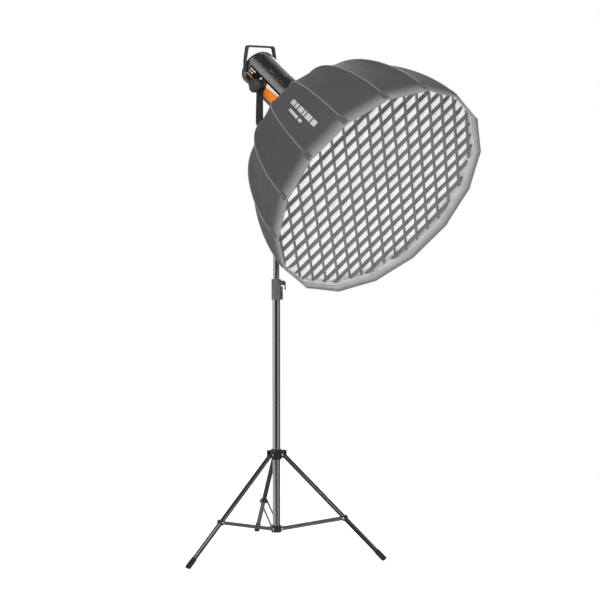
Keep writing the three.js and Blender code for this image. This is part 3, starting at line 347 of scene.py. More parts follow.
LOOKS = {
    "tube": drawn_metal("tube_metal", (0.56, 0.563, 0.566), 0.13),
    "enamel": moulded(
        "black_enamel", (0.045, 0.046, 0.047), 0.2, 0.6, grain=500, depth=0.03, wear=0.4, waves=0.02,
        Coat_Weight=0.6
    ),
    "strap": moulded("strap_steel", (0.16, 0.162, 0.165), 0.3, 0.7, grain=700, depth=0.05, wear=0.3),
    "cast": moulded("cast_grey", (0.17, 0.173, 0.176), 0.34, 0.3, grain=900, depth=0.12, wear=0.35),
    "black": moulded("satin_black", (0.016, 0.016, 0.017), 0.36, grain=1100, depth=0.2, wear=0.3),
    "knob": moulded(
        "knob_plastic", (0.05, 0.05, 0.051), 0.34, grain=1600, depth=0.2, wear=0.3, Coat_Weight=0.3
    ),
    "grip": moulded("grip_black", (0.014, 0.014, 0.015), 0.48, grain=1600, depth=0.35, wear=0.2),
    "rubber": moulded("foot_rubber", (0.012, 0.012, 0.012), 0.72, grain=700, depth=0.5),
    "keys": moulded("key_rubber", (0.22, 0.22, 0.225), 0.62, grain=900, depth=0.3),
    "yoke": moulded("yoke_coat", (0.02, 0.0205, 0.021), 0.4, 0.2, grain=1300, depth=0.35, wear=0.5),
    "shell": moulded("shell_lacquer", (0.30, 0.303, 0.306), 0.26, 0.95, grain=500, depth=0.01, waves=0.01),
    # Painted shade: near-black for places where there is only shade, the shell's inside, its slot walls and
    # the sleeve under the vents.
    "void": moulded("painted_shade_fill", (0.004, 0.004, 0.004), 0.9, grain=400, depth=0.1, Specular_IOR_Level=0.1),
    "trim": moulded("dark_trim", (0.035, 0.036, 0.038), 0.34, 0.4, grain=1000, depth=0.12, wear=0.4),
    "handle": moulded("handle_paint", (0.05, 0.051, 0.053), 0.42, 0.2, grain=1300, depth=0.3, wear=0.4),
    "livery_black": livery("livery_black", (0.003, 0.003, 0.0032), Specular_IOR_Level=0.2),
    # The white and orange livery carry a painted glow: their emission brightens them as if strongly lit from
    # the side, though they are no lamp.
    "livery_white": livery(
        "livery_white", (0.95, 0.95, 0.95), Emission_Color=(1, 1, 1), Emission_Strength=0.15
    ),
    "livery_grey": livery("livery_grey", (0.32, 0.32, 0.325)),
    "livery_orange": livery(
        "livery_orange", (1.0, 0.25, 0.008), 0.4, Emission_Color=(1.0, 0.23, 0.008), Emission_Strength=0.26
    ),
    "panel": moulded("rear_plastic", (0.018, 0.018, 0.019), 0.5, grain=1800, depth=0.4),
    "steel": drawn_metal("bright_steel", (0.6, 0.61, 0.62), 0.24),
    "rivet": drawn_metal("rivet_steel", (0.75, 0.76, 0.77), 0.18),
    "brass": drawn_metal("turned_brass", (0.62, 0.42, 0.14), 0.28),
    "sheet_metal": drawn_metal("folded_aluminium", (0.66, 0.67, 0.68), 0.3, "Y"),
    "spring": drawn_metal("rib_steel", (0.28, 0.285, 0.29), 0.3),
    "board": moulded("solder_mask", (0.01, 0.09, 0.03), 0.3, grain=600, depth=0.3),
    "sleeve": moulded("capacitor_sleeve", (0.012, 0.02, 0.06), 0.25, grain=300, depth=0.1),
    "glass": glass("clear_glass", (0.95, 0.97, 0.97)),
    "screen": screen_glass(),
    "cloth": shell_cloth(),
    "lining": lining_cloth(),
    "piping": woven("piping_cloth", (0.31, 0.323, 0.315), roughness=0.5, thread=0.0007).material,
    "pocket": woven("pocket_cloth", (0.12, 0.121, 0.123), thread=0.0014).material,
    # The grid's one cloth in two tones: painted shade on one family of strips, painted light on the other.
    "strip_painted_dim": woven("strip_painted_dim", (0.18, 0.182, 0.184), thread=0.0013).material,
    "strip_painted_lit": woven("strip_painted_lit", (0.22, 0.222, 0.224), thread=0.0013).material,
    "hem": woven("hem_cloth", (0.30, 0.302, 0.304), thread=0.0011).material,
    "print": woven("print_white", (0.8, 0.8, 0.8), roughness=0.55).material,
    "diffuser": diffuser_cloth(),
}


def studio_tone(look, direction):
    """What polished metal mirrors, by compass direction: pale, dark where the camera is, greyer far right."""
    towards_camera = (CAMERA_AT - CAMERA_LOOKS_AT).normalized()
    rightwards = Vector((0, 0, 1)).cross(towards_camera).normalized()
    far_right = (rightwards - towards_camera).normalized()
    gap_way = (towards_camera - 0.11 * rightwards).normalized()
    around = look.ramp(look.share_of(direction, gap_way), [
        (0.0, 1.0), (0.88, 1.0), (0.935, 0.02), (1.0, 0.02),
    ])
    sideways = look.ramp(look.share_of(direction, far_right), [
        (0.0, 1.0), (0.25, 0.95), (0.38, 0.62), (0.78, 0.55), (0.88, 0.14), (1.0, 0.12),
    ])
    return look.mix(1.0, around, sideways, "MULTIPLY")


def studio_world():
    """White to the camera. What the metal mirrors is a pale studio with a dark gap where the camera is."""
    world = bpy.data.worlds.new("studio")
    world.use_nodes = True
    scene.world = world
    look = Look("world", world.node_tree)
    direction = look.node("ShaderNodeTexCoord", "Generated")
    upwards = look.ramp(look.share_of(direction, Vector((0, 0, 1))), [
        (0.0, 0.08), (0.36, 0.2), (0.42, 0.9), (0.5, 0.9), (0.54, 0.3), (0.72, 0.4), (0.8, 1.0), (0.9, 1.0),
        (0.955, 0.06), (1.0, 0.06),
    ])
    tone = look.mix(1.0, studio_tone(look, direction), upwards, "MULTIPLY")
    seen = look.node("ShaderNodeLightPath", "Is Camera Ray")
    back = world.node_tree.nodes["Background"]
    look.put(back.inputs["Color"], look.mix(seen, tone, (1.0, 1.0, 1.0)))
    look.put(back.inputs["Strength"], look.span(seen, 0.0, 1.0, 0.8, 1.0))


FLOOR_HALF = 2.2


def studio_floor():
    """Pale paper. Polished metal mirrors the studio's own tones in it."""
    bm = bmesh.new()
    bmesh.ops.create_grid(bm, x_segments=1, y_segments=1, size=FLOOR_HALF)
    mesh = bpy.data.meshes.new("floor")
    bm.to_mesh(mesh)
    bm.free()
    look = Look("floor_paper")
    mirrored = look.node("ShaderNodeLightPath", "Is Glossy Ray")
    paper = look.ramp(look.noise(0.8, 2), [(0.3, (0.93,) * 3), (0.7, (0.95,) * 3)])
    look.feed("Base Color", look.mix(mirrored, paper, (0.05, 0.05, 0.05)))
    look.feed("Roughness", 0.9)
    inputs = {0: look.place()}
    outwards = look.node("ShaderNodeVectorMath", "Vector", inputs=inputs, operation="NORMALIZE")
    look.feed("Emission Color", look.mix(mirrored, (1.0, 1.0, 1.0), studio_tone(look, outwards)))
    look.feed("Emission Strength", look.span(mirrored, 0.0, 1.0, 0.75, 0.6))
    mesh.materials.append(look.material)
    linked("floor", mesh)


studio_world()
studio_floor()

# --- mesh building ---


class Build:
    """Collects surfaces and closed solids, in metres, into one piece."""

    def __init__(self):
        self.bm = bmesh.new()
        self.uv = self.bm.loops.layers.uv.new("cloth")

    def grid(self, rows, kind=0, wrap=False, keep=None, cloth=None):
        """Quads between rows of points. cloth gives a point's (row, column) place on the cloth, in metres."""
        verts = [[self.bm.verts.new(p) for p in row] for row in rows]
        columns = len(rows[0])
        for j in range(len(rows) - 1):
            for i in range(columns if wrap else columns - 1):
                if keep and not keep(j, i):
                    continue
                k = (i + 1) % columns
                face = self.bm.faces.new((verts[j][i], verts[j][k], verts[j + 1][k], verts[j + 1][i]))
                face.material_index = kind(j, i) if callable(kind) else kind
                face.smooth = True
                if cloth:
                    corners = ((j, i), (j, i + 1), (j + 1, i + 1), (j + 1, i))
                    for loop, corner in zip(face.loops, corners):
                        loop[self.uv].uv = cloth(*corner)
        return verts

    def cap(self, verts, kind=0):
        face = self.bm.faces.new(verts)
        face.material_index = kind
        return face

    def tube(self, rings, kind=0, cloth=None):
        """A closed solid through rings of points, with flat ends."""
        verts = self.grid(rings, kind, wrap=True, cloth=cloth)
        self.cap(list(reversed(verts[0])), kind)
        self.cap(verts[-1], kind)

    def lathe(self, profile, segments, ripple=None, wrap=False, centre=(0, 0)):
        """A profile of (radius, height) in mm, turned about Z."""
        points = [*profile, profile[0]] if wrap else profile
        rows = []
        for r, z in points:
            row = []
            for i in range(segments):
                a = TAU * i / segments
                out = r + (ripple(a, r, z) if ripple else 0)
                row.append(Vector((centre[0] + out * cos(a), centre[1] + out * sin(a), z)) * MM)
            rows.append(row)
        self.grid(rows, wrap=True)

    def rounded_box(self, low, high, bevel, segments=2):
        """A box in mm with rounded edges."""
        made = bmesh.ops.create_cube(self.bm, size=1)["verts"]
        size = [h - l for l, h in zip(low, high)]
        middle = [(h + l) / 2 for l, h in zip(low, high)]
        for v in made:
            v.co = Vector([m + c * s for m, c, s in zip(middle, v.co, size)]) * MM
        faces = {f for v in made for f in v.link_faces}
        for f in faces:
            f.smooth = True
        edges = list({e for v in made for e in v.link_edges})
        bmesh.ops.bevel(
            self.bm, geom=edges, offset=bevel * MM, segments=segments, profile=0.6, affect="EDGES"
        )

    def piece(self, name, looks, body, slot, at=None, replaces=(), sharp=38, outward=True):
        bmesh.ops.remove_doubles(self.bm, verts=self.bm.verts, dist=2e-6)
        if outward:
            bmesh.ops.recalc_face_normals(self.bm, faces=self.bm.faces)
        mesh = bpy.data.meshes.new(name)
        self.bm.to_mesh(mesh)
        self.bm.free()
        if at is not None:
            mesh.transform(at)
        mesh.set_sharp_from_angle(angle=radians(sharp))
        for key in [looks] if isinstance(looks, str) else looks:
            mesh.materials.append(LOOKS[key])
        obj = linked(name, mesh)
        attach(obj, body)
        if replaces:
            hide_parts(*replaces)
        return obj


def thickened(obj, thickness, inner_look=0):
    """Gives a sheet its thickness, inwards."""
    solid = obj.modifiers.new("thickness", "SOLIDIFY")
    solid.thickness = thickness * MM
    solid.offset = -1
    solid.material_offset = inner_look
    solid.use_quality_normals = True
    return obj


def frame_at(origin, axis):
    """A transform at a point, with Z along the axis."""
    return Matrix.Translation(origin) @ Vector(axis).to_track_quat("Z", "Y").to_matrix().to_4x4()


mast_low, mast_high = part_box("mast_lower_tube")
mast_at = (mast_low + mast_high) / 2
MAST = Matrix.Translation((mast_at.x, mast_at.y, 0))

# --- nodes whose CAD shape is right: softened edges, or the node itself when it is out of sight ----


ROUNDED_CORNER = radians(50)


def refined(node, look, bevel):
    """The node's own shape with its corners rounded."""
    source = frame["nodes"][node]
    build = Build()
    bm = build.bm
    bm.from_mesh(source.data)
    bmesh.ops.remove_doubles(bm, verts=bm.verts, dist=2e-6)
    bmesh.ops.dissolve_limit(bm, angle_limit=radians(1), verts=bm.verts, edges=bm.edges)
    corners = [e for e in bm.edges if len(e.link_faces) == 2 and e.calc_face_angle() > ROUNDED_CORNER]
    bmesh.ops.bevel(
        bm, geom=corners, offset=bevel * MM, segments=2, profile=0.6, affect="EDGES", clamp_overlap=True
    )
    for face in bm.faces:
        face.smooth = True
        face.material_index = 0
    build.piece(f"{node}_finish", look, source["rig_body"], slots[node], replaces=[node], outward=False)


REFINED = {
    "cast": (["lower_clamp_body", "lower_clamp_lever", "upper_clamp_body", "upper_clamp_lever"], 0.8),
    "brass": (["lower_clamp_bolt", "upper_clamp_bolt"], 0.5),
    "black": (["bottom_hub", "leg_collar", "receiver"], 0.8),
    "enamel": (["leg_1", "leg_2", "leg_3"], 0.5),
    "strap": (["brace_1", "brace_2", "brace_3"], 0.5),
    "yoke": (["yoke_bracket"], 0.9),
    "handle": (["carry_handle"], 1.2),
    "steel": (["spigot", "yoke_bolt", "tilt_bolt"], 0.5),
    "trim": (["trunnion_left", "trunnion_right", "speed_ring"], 0.6),
    "panel": (["rear_panel", "mains_inlet"], 0.4),
    "grip": (["mount_latch", "power_switch"], 0.5),
}
for look_name, (nodes, softness) in REFINED.items():
    for node_name in nodes:
        refined(node_name, look_name, softness)

KEPT = {
    "screen": ["display"],
    "grip": ["fan_frame", "fan_rotor"],
    "sheet_metal": ["chassis", "reflector_plate"],
    "board": ["circuit_board"],
    "sleeve": ["flash_capacitor"],
    "glass": ["flash_tube", "modelling_lamp", "glass_dome"],
    "spring": ["rib_cage"],
}
for look_name, nodes in KEPT.items():
    for node_name in nodes:
        kept_mesh = frame["nodes"][node_name].data
        kept_mesh.materials.clear()
        kept_mesh.materials.append(LOOKS[look_name])

# --- stand ---


def mast_tube(node, radius, inner):
    """A drawn tube with rolled ends."""
    low, high = (corner.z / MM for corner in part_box(node))
    roll = 0.8
    build = Build()
    build.lathe([
        (inner, low + roll), (inner + roll, low), (radius - roll, low), (radius, low + roll),
        (radius, high - roll), (radius - roll, high), (inner + roll, high), (inner, high - roll),
    ], 96, wrap=True)
    build.piece(f"{node}_drawn", "tube", frame["nodes"][node]["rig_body"], slots[node], MAST, [node])


for section, outer, bore in (("lower", 15, 12.4), ("middle", 12, 9.9), ("top", 9.5, 7.8)):
    mast_tube(f"mast_{section}_tube", outer, bore)


def dome(build, centre, radius, height, way):
    """A rivet head: a low dome with a small skirt, on a point in mm. way is 1 or -1, along Y."""
    segments = 20
    profile = [(0, 0), (radius, 0), (radius, height * 0.3), (radius * 0.86, height * 0.7),
               (radius * 0.5, height * 0.95), (0, height)]
    rows = []
    for r, z in profile:
        ring = []
        for i in range(segments):
            a = TAU * i / segments
            x, y = r * cos(a), r * sin(a)
            ring.append((Vector(centre) + Vector((x, way * z, -way * y))) * MM)
        rows.append(ring)
    build.grid(rows, wrap=True)


PIVOT_R, COLLAR_Z, HUB_Z, FOOT_R, LEG_TO_BRACE = 29.0, 393.0, 100.0, 448.5, 345.0
LEG_DROP = atan2(COLLAR_Z, FOOT_R - PIVOT_R)
LEG_LENGTH = hypot(FOOT_R - PIVOT_R, COLLAR_Z)


def brace_tip():
    """Where a brace meets its leg, outwards and up from the hub's pivot, in mm."""
    return (LEG_TO_BRACE * cos(LEG_DROP), COLLAR_Z - LEG_TO_BRACE * sin(LEG_DROP) - HUB_Z)


def leg_pivot(k):
    """Where leg k turns on the collar, and the level way out along it."""
    pivot = Vector(joints[f"leg_{k}_fold"]["pos_m"])
    return pivot, Vector((pivot.x - mast_at.x, pivot.y - mast_at.y, 0)).normalized()


def rivets(name, body, at, spots, out, height):
    """Pairs of rivet heads, one on each side of a flat joint."""
    build = Build()
    for x, z in spots:
        dome(build, (x, out, z), 5, height, 1)
        dome(build, (x, -out, z), 5, height, -1)
    build.piece(name, "rivet", body, "bright_steel", at)


for k in (1, 2, 3):
    pivot, outward = leg_pivot(k)
    up = Vector((0, 0, 1))
    side = Matrix((outward, up.cross(outward), up)).transposed().to_4x4()
    rivets(f"leg_{k}_rivets", f"leg_{k}", Matrix.Translation(pivot) @ side, [(0, 0)], 13.2, 3.2)
    hub_pivot = Vector(joints[f"brace_{k}_fold"]["pos_m"])
    on_hub = Matrix.Translation(hub_pivot) @ side
    rivets(f"brace_{k}_rivets", f"brace_{k}", on_hub, [(0, 0), brace_tip()], 15.6, 3.0)



def foot_caps():
    """A rubber cap over the end of each leg, worn flat where it stands on the floor."""
    back, sole = LEG_LENGTH - 52, LEG_LENGTH - 5
    for k in (1, 2, 3):
        pivot, outward = leg_pivot(k)
        at = frame_at(pivot, outward * cos(LEG_DROP) - Vector((0, 0, sin(LEG_DROP))))
        build = Build()
        build.lathe([
            (9.2, back), (10.2, back), (10.8, back + 0.8), (10.8, back + 6), (10.3, back + 6.5),
            (10.3, back + 8), (10.8, back + 8.5), (10.8, sole - 8), (10.8, sole - 1.2), (9.6, sole),
            (0, sole), (0, sole - 3.5), (9.2, sole - 3.5),
        ], 48, wrap=True)
        for vert in build.bm.verts:
            spot = at @ vert.co
            spot.z = max(spot.z, 0.2 * MM)
            vert.co = at.inverted() @ spot
        node = f"foot_{k}"
        build.piece(f"{node}_cap", "rubber", frame["nodes"][node]["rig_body"], slots[node], at, [node])


foot_caps()


def lever_rivets(label):
    """The peened ends of a clamp lever's pin, on the outsides of the lugs."""
    swing = joints[f"{label}_lever_swing"]
    build = Build()
    build.lathe([(0, 9.9), (4.2, 9.9), (4.2, 10.8), (3.4, 11.8), (0, 12.2)], 24)
    build.lathe([(0, -9.9), (4.2, -9.9), (4.2, -10.8), (3.4, -11.8), (0, -12.2)], 24)
    at = frame_at(Vector(swing["pos_m"]), swing["axis"])
    build.piece(f"{label}_lever_rivets", "rivet", f"{label}_lever", "bright_steel", at)


lever_rivets("lower")
lever_rivets("upper")


def knob(name, node, joint, profile, lobes, depth, grip, body, look="grip", segments=144):
    """A turned knob whose grip is fluted between two heights, along its joint's axis."""
    turn = joints[joint]

    def flute(angle, radius, height):
        if not grip[0] < height < grip[1] or radius < grip[2]:
            return 0
        return -depth * (0.5 - 0.5 * cos(lobes * angle))

    build = Build()
    build.lathe(profile, segments, flute)
    at = frame_at(Vector(turn["pos_m"]), turn["axis"])
    return build.piece(name, look, body, slots[node], at, [node])


def screw_knob(name, node, joint, body, start, radius, grip_from, grip_to):
    """A screw and a lobed grip. start is where the screw's tip lies from the joint's own point, in mm."""
    mid = (grip_from + grip_to) / 2
    near, far = start + grip_from, start + grip_to
    profile = [
        (0, start), (3.4, start), (4, start + 0.8), (4, near), (radius - 3, near), (radius - 0.8, near + 0.8),
        (radius, near + 2.5), (radius, start + mid), (radius, far - 2.5), (radius - 0.8, far - 0.8),
        (radius - 3, far), (radius * 0.55, far), (radius * 0.5, far - 1), (0, far - 1),
    ]
    grip = (near + 0.4, far - 0.4, radius - 1.5)
    return knob(name, node, joint, profile, 8, 1.8, grip, body)


screw_knob("collar_knob_grip", "collar_knob", "collar_knob_turn", "collar_lock", 0, 9, 9, 22)
screw_knob("receiver_knob_grip", "receiver_knob", "receiver_knob_turn", "receiver_lock", -10.5, 13, 18, 36)

# The tilt joint's own point is 100 mm out along the knob's axis.
KNOB_ORIGIN = 100
ARM = 87.3 - KNOB_ORIGIN
knob("tilt_knob_grip", "tilt_knob", "tilt_knob_turn", [
    (0, 77 - KNOB_ORIGIN), (6, 77 - KNOB_ORIGIN), (6, ARM), *((r, ARM + out) for r, out in [
        (16.4, 0), (17, 0.6), (17, 4.4), (16.4, 5), (14.6, 5.4), (14.6, 6.6), (18.4, 7), (19, 7.8), (19, 12),
        (20, 13), (25.4, 15.2), (26.6, 16.4), (27, 18), (27, 26), (26.6, 28), (25.6, 29.2), (24.4, 29.8),
        (23, 30), (21.6, 29.6), (20.6, 28.4), (19.8, 27), (15.4, 26.6), (14.8, 27.4), (13.6, 27.8),
        (12.4, 27.4), (11.8, 26.6), (8, 26.8), (6.8, 28.2), (5, 29), (0, 29.4),
    ]),
], 36, 0.9, (ARM + 16.5, ARM + 28, 26), "tilt_lock", look="knob", segments=288)

# --- strobe head ---

BODY_R = 72
SHELL_BACK, SHELL_FRONT = -127.7, 138
SHELL_COLUMNS = 720
SLOT_BANDS = [(54, 1.6, [(-1 + 18 * i, 10 + 18 * i) for i in range(5)]),
              (126, 1.6, [(-1 + 18 * i, 10 + 18 * i) for i in range(5)]),
              (90, 17.5, [(44 + 10 * i, 48 + 10 * i) for i in range(8)])]


def angle_between(a, b):
    return abs((a - b + 180) % 360 - 180)


def in_slot(degrees, along):
    return any(
        angle_between(degrees, middle) < half and any(low < along < high for low, high in spans)
        for middle, half, spans in SLOT_BANDS
    )


def head_shell():
    stops = {SHELL_BACK, SHELL_BACK + 1, SHELL_BACK + 3, SHELL_FRONT - 1, SHELL_FRONT, -60, -30, 40, 122, 130}
    stops.update(edge for _, _, spans in SLOT_BANDS for span in spans for edge in span)
    levels = sorted(stops)
    step = 360 / SHELL_COLUMNS
    rows = []
    for level in levels:
        at_end = level in (SHELL_BACK, SHELL_FRONT)
        row = []
        for i in range(SHELL_COLUMNS):
            r = BODY_R - (0.8 if at_end else 0)
            a = radians(i * step)
            row.append(Vector((r * cos(a), r * sin(a), level)) * MM)
        rows.append(row)

    def solid_here(j, i):
        return not in_slot((i + 0.5) * step, (levels[j] + levels[j + 1]) / 2)

    def grille(j, i):
        return 2 if angle_between((i + 0.5) * step, 90) < 20 and 40 < levels[j] < 120 else 0

    build = Build()
    build.grid(rows, grille, wrap=True, keep=solid_here)
    for face in build.bm.faces:
        face.smooth = False
    looks = ["shell", "void", "trim"]
    shell = build.piece("head_shell", looks, "head", "body_paint", HEAD, ["body_shell"], sharp=50)
    # Solidify shifts the inside and the slot walls one look along, so those of the plain shell become painted
    # shade.
    thickened(shell, 0.9, inner_look=1).modifiers[-1].material_offset_rim = 1


# The sleeve lies just under the shell's surface, a dark sheet of painted shade, so that the vents read as
# dark.
SLEEVE_INNER, SLEEVE_OUTER = 69.4, 71.6


def painted_vent_shade():
    """A dark sleeve of painted shade under the vents."""
    build = Build()
    build.lathe([
        (SLEEVE_INNER, -124), (SLEEVE_OUTER, -124), (SLEEVE_OUTER, 134), (SLEEVE_INNER, 134),
    ], 360, wrap=True)
    build.piece("vent_shade_sleeve", "void", "head", "dark_trim", HEAD)


head_shell()
painted_vent_shade()


def turned_ring(name, node, look, profile):
    build = Build()
    build.lathe(profile, 144, wrap=True)
    build.piece(name, look, "head", slots.get(node, "bright_steel"), HEAD, [node] if node in slots else [])


turned_ring("rear_ring_turned", "rear_ring", "trim", [
    (67, -128), (72, -128), (72.8, -128.6), (73, -129.5), (73, -133), (72.4, -135.6), (71, -137.4),
    (69.8, -138), (68.6, -137.8), (67.4, -136.8), (67, -135.6),
])
turned_ring("rear_trim_ring", "", "steel", [
    (71.8, -127.9), (72.9, -127.7), (73, -126.9), (72.8, -126.2), (71.8, -126),
])
turned_ring("front_ring_turned", "front_ring", "shell", [
    (58, 139), (58.7, 138.3), (71.2, 138.3), (72, 139), (72, 147), (71.2, 148), (71.2, 151), (72, 152),
    (72, 164.9), (71.2, 165.7), (62.5, 165.7), (62.5, 158), (61, 157.5), (58, 157.5),
])

PANEL_INNER, PANEL_OUTER = 72.3, 73.7
PANEL_BACK = -104
PANEL_HALF = 24
# Plain bars of the livery: look, from and to in degrees from the panel's upper edge, how many degrees
# the lower edge rises on its way to the front, and back and front in mm.
PANEL_ZONES = [
    ("livery_white", 5.5, 16, 9, 24, 136),
    ("livery_orange", 5.5, 48, 0, 18, 136),
    ("livery_white", 6, 9, 0, -98, -62),
    ("livery_grey", 12, 20, 0, -100, -82),
    ("livery_white", 13, 18, 0, -80, -72),
    ("livery_orange", 25, 28.5, 0, -102, -66),
    ("livery_white", 6, 13, 0, -26, -14),
]
PANEL_LOOKS = ["livery_black", "livery_white", "livery_grey", "livery_orange"]


def side_panel(name, node, mirrored):
    """A thin curved panel, painted in plain bars, with a round opening for the trunnion."""
    steps, levels = 96, [PANEL_BACK + 2 * i for i in range(121)]
    degrees = [180 - PANEL_HALF + 2 * PANEL_HALF * i / steps for i in range(steps + 1)]

    def spot(r, level, angle):
        a = radians(180 - angle if mirrored else angle)
        return Vector((r * cos(a), r * sin(a), level)) * MM

    def zone(j, i):
        level = (levels[j] + levels[j + 1]) / 2
        down = (degrees[i] + degrees[i + 1]) / 2 - (180 - PANEL_HALF)
        for look, start, end, rise, back, front in PANEL_ZONES:
            if back < level < front and start < down < end - rise * (level - back) / (front - back):
                return PANEL_LOOKS.index(look)
        return 0

    def outside_hole(j, i):
        level = (levels[j] + levels[j + 1]) / 2
        up = PANEL_OUTER * sin(radians((degrees[i] + degrees[i + 1]) / 2))
        return hypot(level, up) > 21.5

    build = Build()
    build.grid([[spot(PANEL_OUTER, level, a) for a in degrees] for level in levels], zone, keep=outside_hole)
    panel = build.piece(name, PANEL_LOOKS, "head", "side_livery", HEAD, [node], sharp=50, outward=False)
    solid = thickened(panel, PANEL_OUTER - PANEL_INNER)
    solid.modifiers[-1].offset = 1 if mirrored else -1
    return panel


side_panel("side_panel_left_livery", "side_panel_left", False)
side_panel("side_panel_right_livery", "side_panel_right", True)


def trunnion_flange(name, sign):
    """The stepped washer round each trunnion, over the edge of the panel's opening."""
    build = Build()
    build.lathe([
        (20.4, 69), (25.5, 69), (25.5, 75), (24.8, 75.8), (22, 76), (21, 77.2), (20.4, 77.2),
    ], 96, wrap=True)
    build.piece(name, "trim", "head", "dark_trim", frame_at(tilt_at, (sign, 0, 0)))


trunnion_flange("trunnion_flange_left", -1)
trunnion_flange("trunnion_flange_right", 1)

# --- back panel details ---

# Seen from behind, with Z out of the panel: x to the viewer's right, y towards the head's top.
BACK = HEAD @ Matrix.Rotation(pi, 4, "Y")
FACE = 133
DIAL_SPOT = (0, -8)


def back_details():
    build = Build()
    for low, high in (((-31, 13.2), (31, 15)), ((-31, 39), (31, 40.8)), ((-31, 13.2), (-29.4, 40.8)),
                      ((29.4, 13.2), (31, 40.8))):
        build.rounded_box((*low, FACE - 0.5), (*high, FACE + 1.2), 0.5)
    build.piece("display_bezel", "trim", "head", "rear_plastic", BACK)

    build = Build()
    heights = [4, 7, 9, 12, 14, 16, 18]
    for i, height in enumerate(heights):
        left = -22 + 6 * i
        build.rounded_box((left, 18, FACE + 0.35), (left + 4, 18 + height, FACE + 0.6), 0.1, segments=1)
    build.piece("display_bars", "livery_orange", "head", "screen", BACK)

    build = Build()
    for i in range(13):
        a = radians(-30 + 20 * i)
        long = 3.2 if i % 3 == 0 else 1.8
        out = Vector((cos(a), sin(a)))
        side = Vector((-out.y, out.x)) * 0.3
        near, far = out * 15.4, out * (15.4 + long)
        corners = [near - side, far - side, far + side, near + side]
        build.tube([
            [Vector((DIAL_SPOT[0] + c.x, DIAL_SPOT[1] + c.y, z)) * MM for c in corners]
            for z in (FACE - 0.2, FACE + 0.12)
        ])
    build.piece("dial_ticks", "livery_white", "head", "side_livery", BACK)

    build = Build()
    for angle in (45, 135, 225, 315):
        a = radians(angle)
        build.lathe([(0, FACE - 0.4), (3, FACE - 0.4), (3, FACE + 0.7), (2.4, FACE + 1.3), (1.5, FACE + 1.4),
                     (1.2, FACE + 0.5), (0, FACE + 0.5)], 24, centre=(58 * cos(a), 58 * sin(a)))
    build.piece("panel_screws", "steel", "head", "bright_steel", BACK)


back_details()
knob("dial_grip", "dial", "dial_turn", [
    (0, 8), (3, 8), (3, -0.3), (12.4, -0.3), (13, -0.9), (13, -4), (13, -9.5), (12.6, -11), (11.6, -12),
    (8, -12), (7.4, -11.4), (0, -11.2),
], 48, 0.5, (-10.2, -1.2, 12.8), "dial_body", segments=192)


def dial_pointer():
    build = Build()
    build.rounded_box((-0.6, 8.4, FACE + 11.8), (0.6, 12.2, FACE + 12.25), 0.15, segments=1)
    build.piece("dial_pointer", "livery_white", "dial_body", "side_livery",
                BACK @ Matrix.Translation(Vector((*DIAL_SPOT, 0)) * MM))


dial_pointer()


def key(node, body, x, y):
    """A domed silicone key."""
    build = Build()
    build.lathe([
        (0, FACE - 5), (4.6, FACE - 5), (5, FACE - 4.4), (5, FACE + 2), (4.6, FACE + 2.7), (3.4, FACE + 2.95),
        (2.6, FACE + 2.6), (0, FACE + 2.4),
    ], 48)
    # The panel's X runs to the head's -X when it is seen from behind.
    at = BACK @ Matrix.Translation(Vector((-x, y, 0)) * MM)
    build.piece(f"{node}_key", "keys", body, slots[node], at, [node])


key("mode_button", "mode_button_body", -32, -8)
key("test_button", "test_button_body", 32, -8)

# --- softbox ---


def softbox_piece(build, name, looks, **options):
    return build.piece(name, looks, "softbox", "softbox_fabric", HEAD, **options)


RIBS = 16
RIB_PHASE = radians(2.6)
RIB_STEP = TAU / RIBS
RIB_END_R, RIB_END_L, RIB_DEPTH, RIB_BOW = 448, 672, 500, 8
NECK_R, NECK_L = 84, 172
LIP_L, LIP_R = 722, 450
NECK_SWEEP = asin(NECK_R / RIB_END_R)


def rib_angle(i):
    return RIB_PHASE + i * RIB_STEP


def on_chord(i, v, r):
    """The (x, y) point a share v of the way from rib i to the next, on the straight line between them."""
    a, b = rib_angle(i), rib_angle(i + 1)
    return (
        r * ((1 - v) * cos(a) + v * cos(b)),
        r * ((1 - v) * sin(a) + v * sin(b)),
    )


def rib_point(sweep):
    """The rib's (radius, distance along the beam) in mm: a quarter ellipse, bowed along its normal."""
    out = Vector((sin(sweep) / RIB_END_R, -cos(sweep) / RIB_DEPTH)).normalized()
    out *= RIB_BOW * sin(TAU * (sweep - NECK_SWEEP) / (pi / 2 - NECK_SWEEP))
    return RIB_END_R * sin(sweep) + out.x, RIB_END_L - RIB_DEPTH * cos(sweep) + out.y


def rib_normal(along):
    """The profile's outward direction, as (radial, along the beam)."""
    if along >= RIB_END_L:
        return 1.0, 0.0
    cosine = min(1.0, (RIB_END_L - along) / RIB_DEPTH)
    sine = sqrt(max(1 - cosine * cosine, 1e-6))
    if along < NECK_L + 10:
        return 1.0, 0.0
    n = Vector((sine / RIB_END_R, -cosine / RIB_DEPTH)).normalized()
    return n.x, n.y


def slack(along):
    """How far the cloth pulls in between two ribs, in mm."""
    if along >= RIB_END_L:
        return 1.5
    share = max(0.0, (along - NECK_L - 8) / (RIB_END_L - NECK_L - 8))
    return 1.5 * share + 6.5 * sin(pi * min(1, share)) ** 1.3


def cloth_point(i, v, r, along, lift=0.0, creased=True):
    """A point of the cloth between rib i and the next, a share v of the way across, in metres."""
    middle = (rib_angle(i) + rib_angle(i + 1)) / 2
    x, y = on_chord(i, v, r)
    inward = slack(along) * 4 * v * (1 - v)
    if creased:
        near_seam = exp(-min(v, 1 - v) * 9) * min(v, 1 - v) * 18
        ripple = noise.noise(Vector((i * 7.3 + v * 2.1, along * 0.045, 3.1)))
        inward -= 1.1 * near_seam * ripple
        inward -= 1.2 * 4 * v * (1 - v) * noise.noise(Vector((i * 3.7 + v * 1.6, along * 0.011, 8.4)))
    nr, nl = rib_normal(along)
    out = lift - inward
    return Vector((x + cos(middle) * nr * out, y + sin(middle) * nr * out, along + nl * out)) * MM


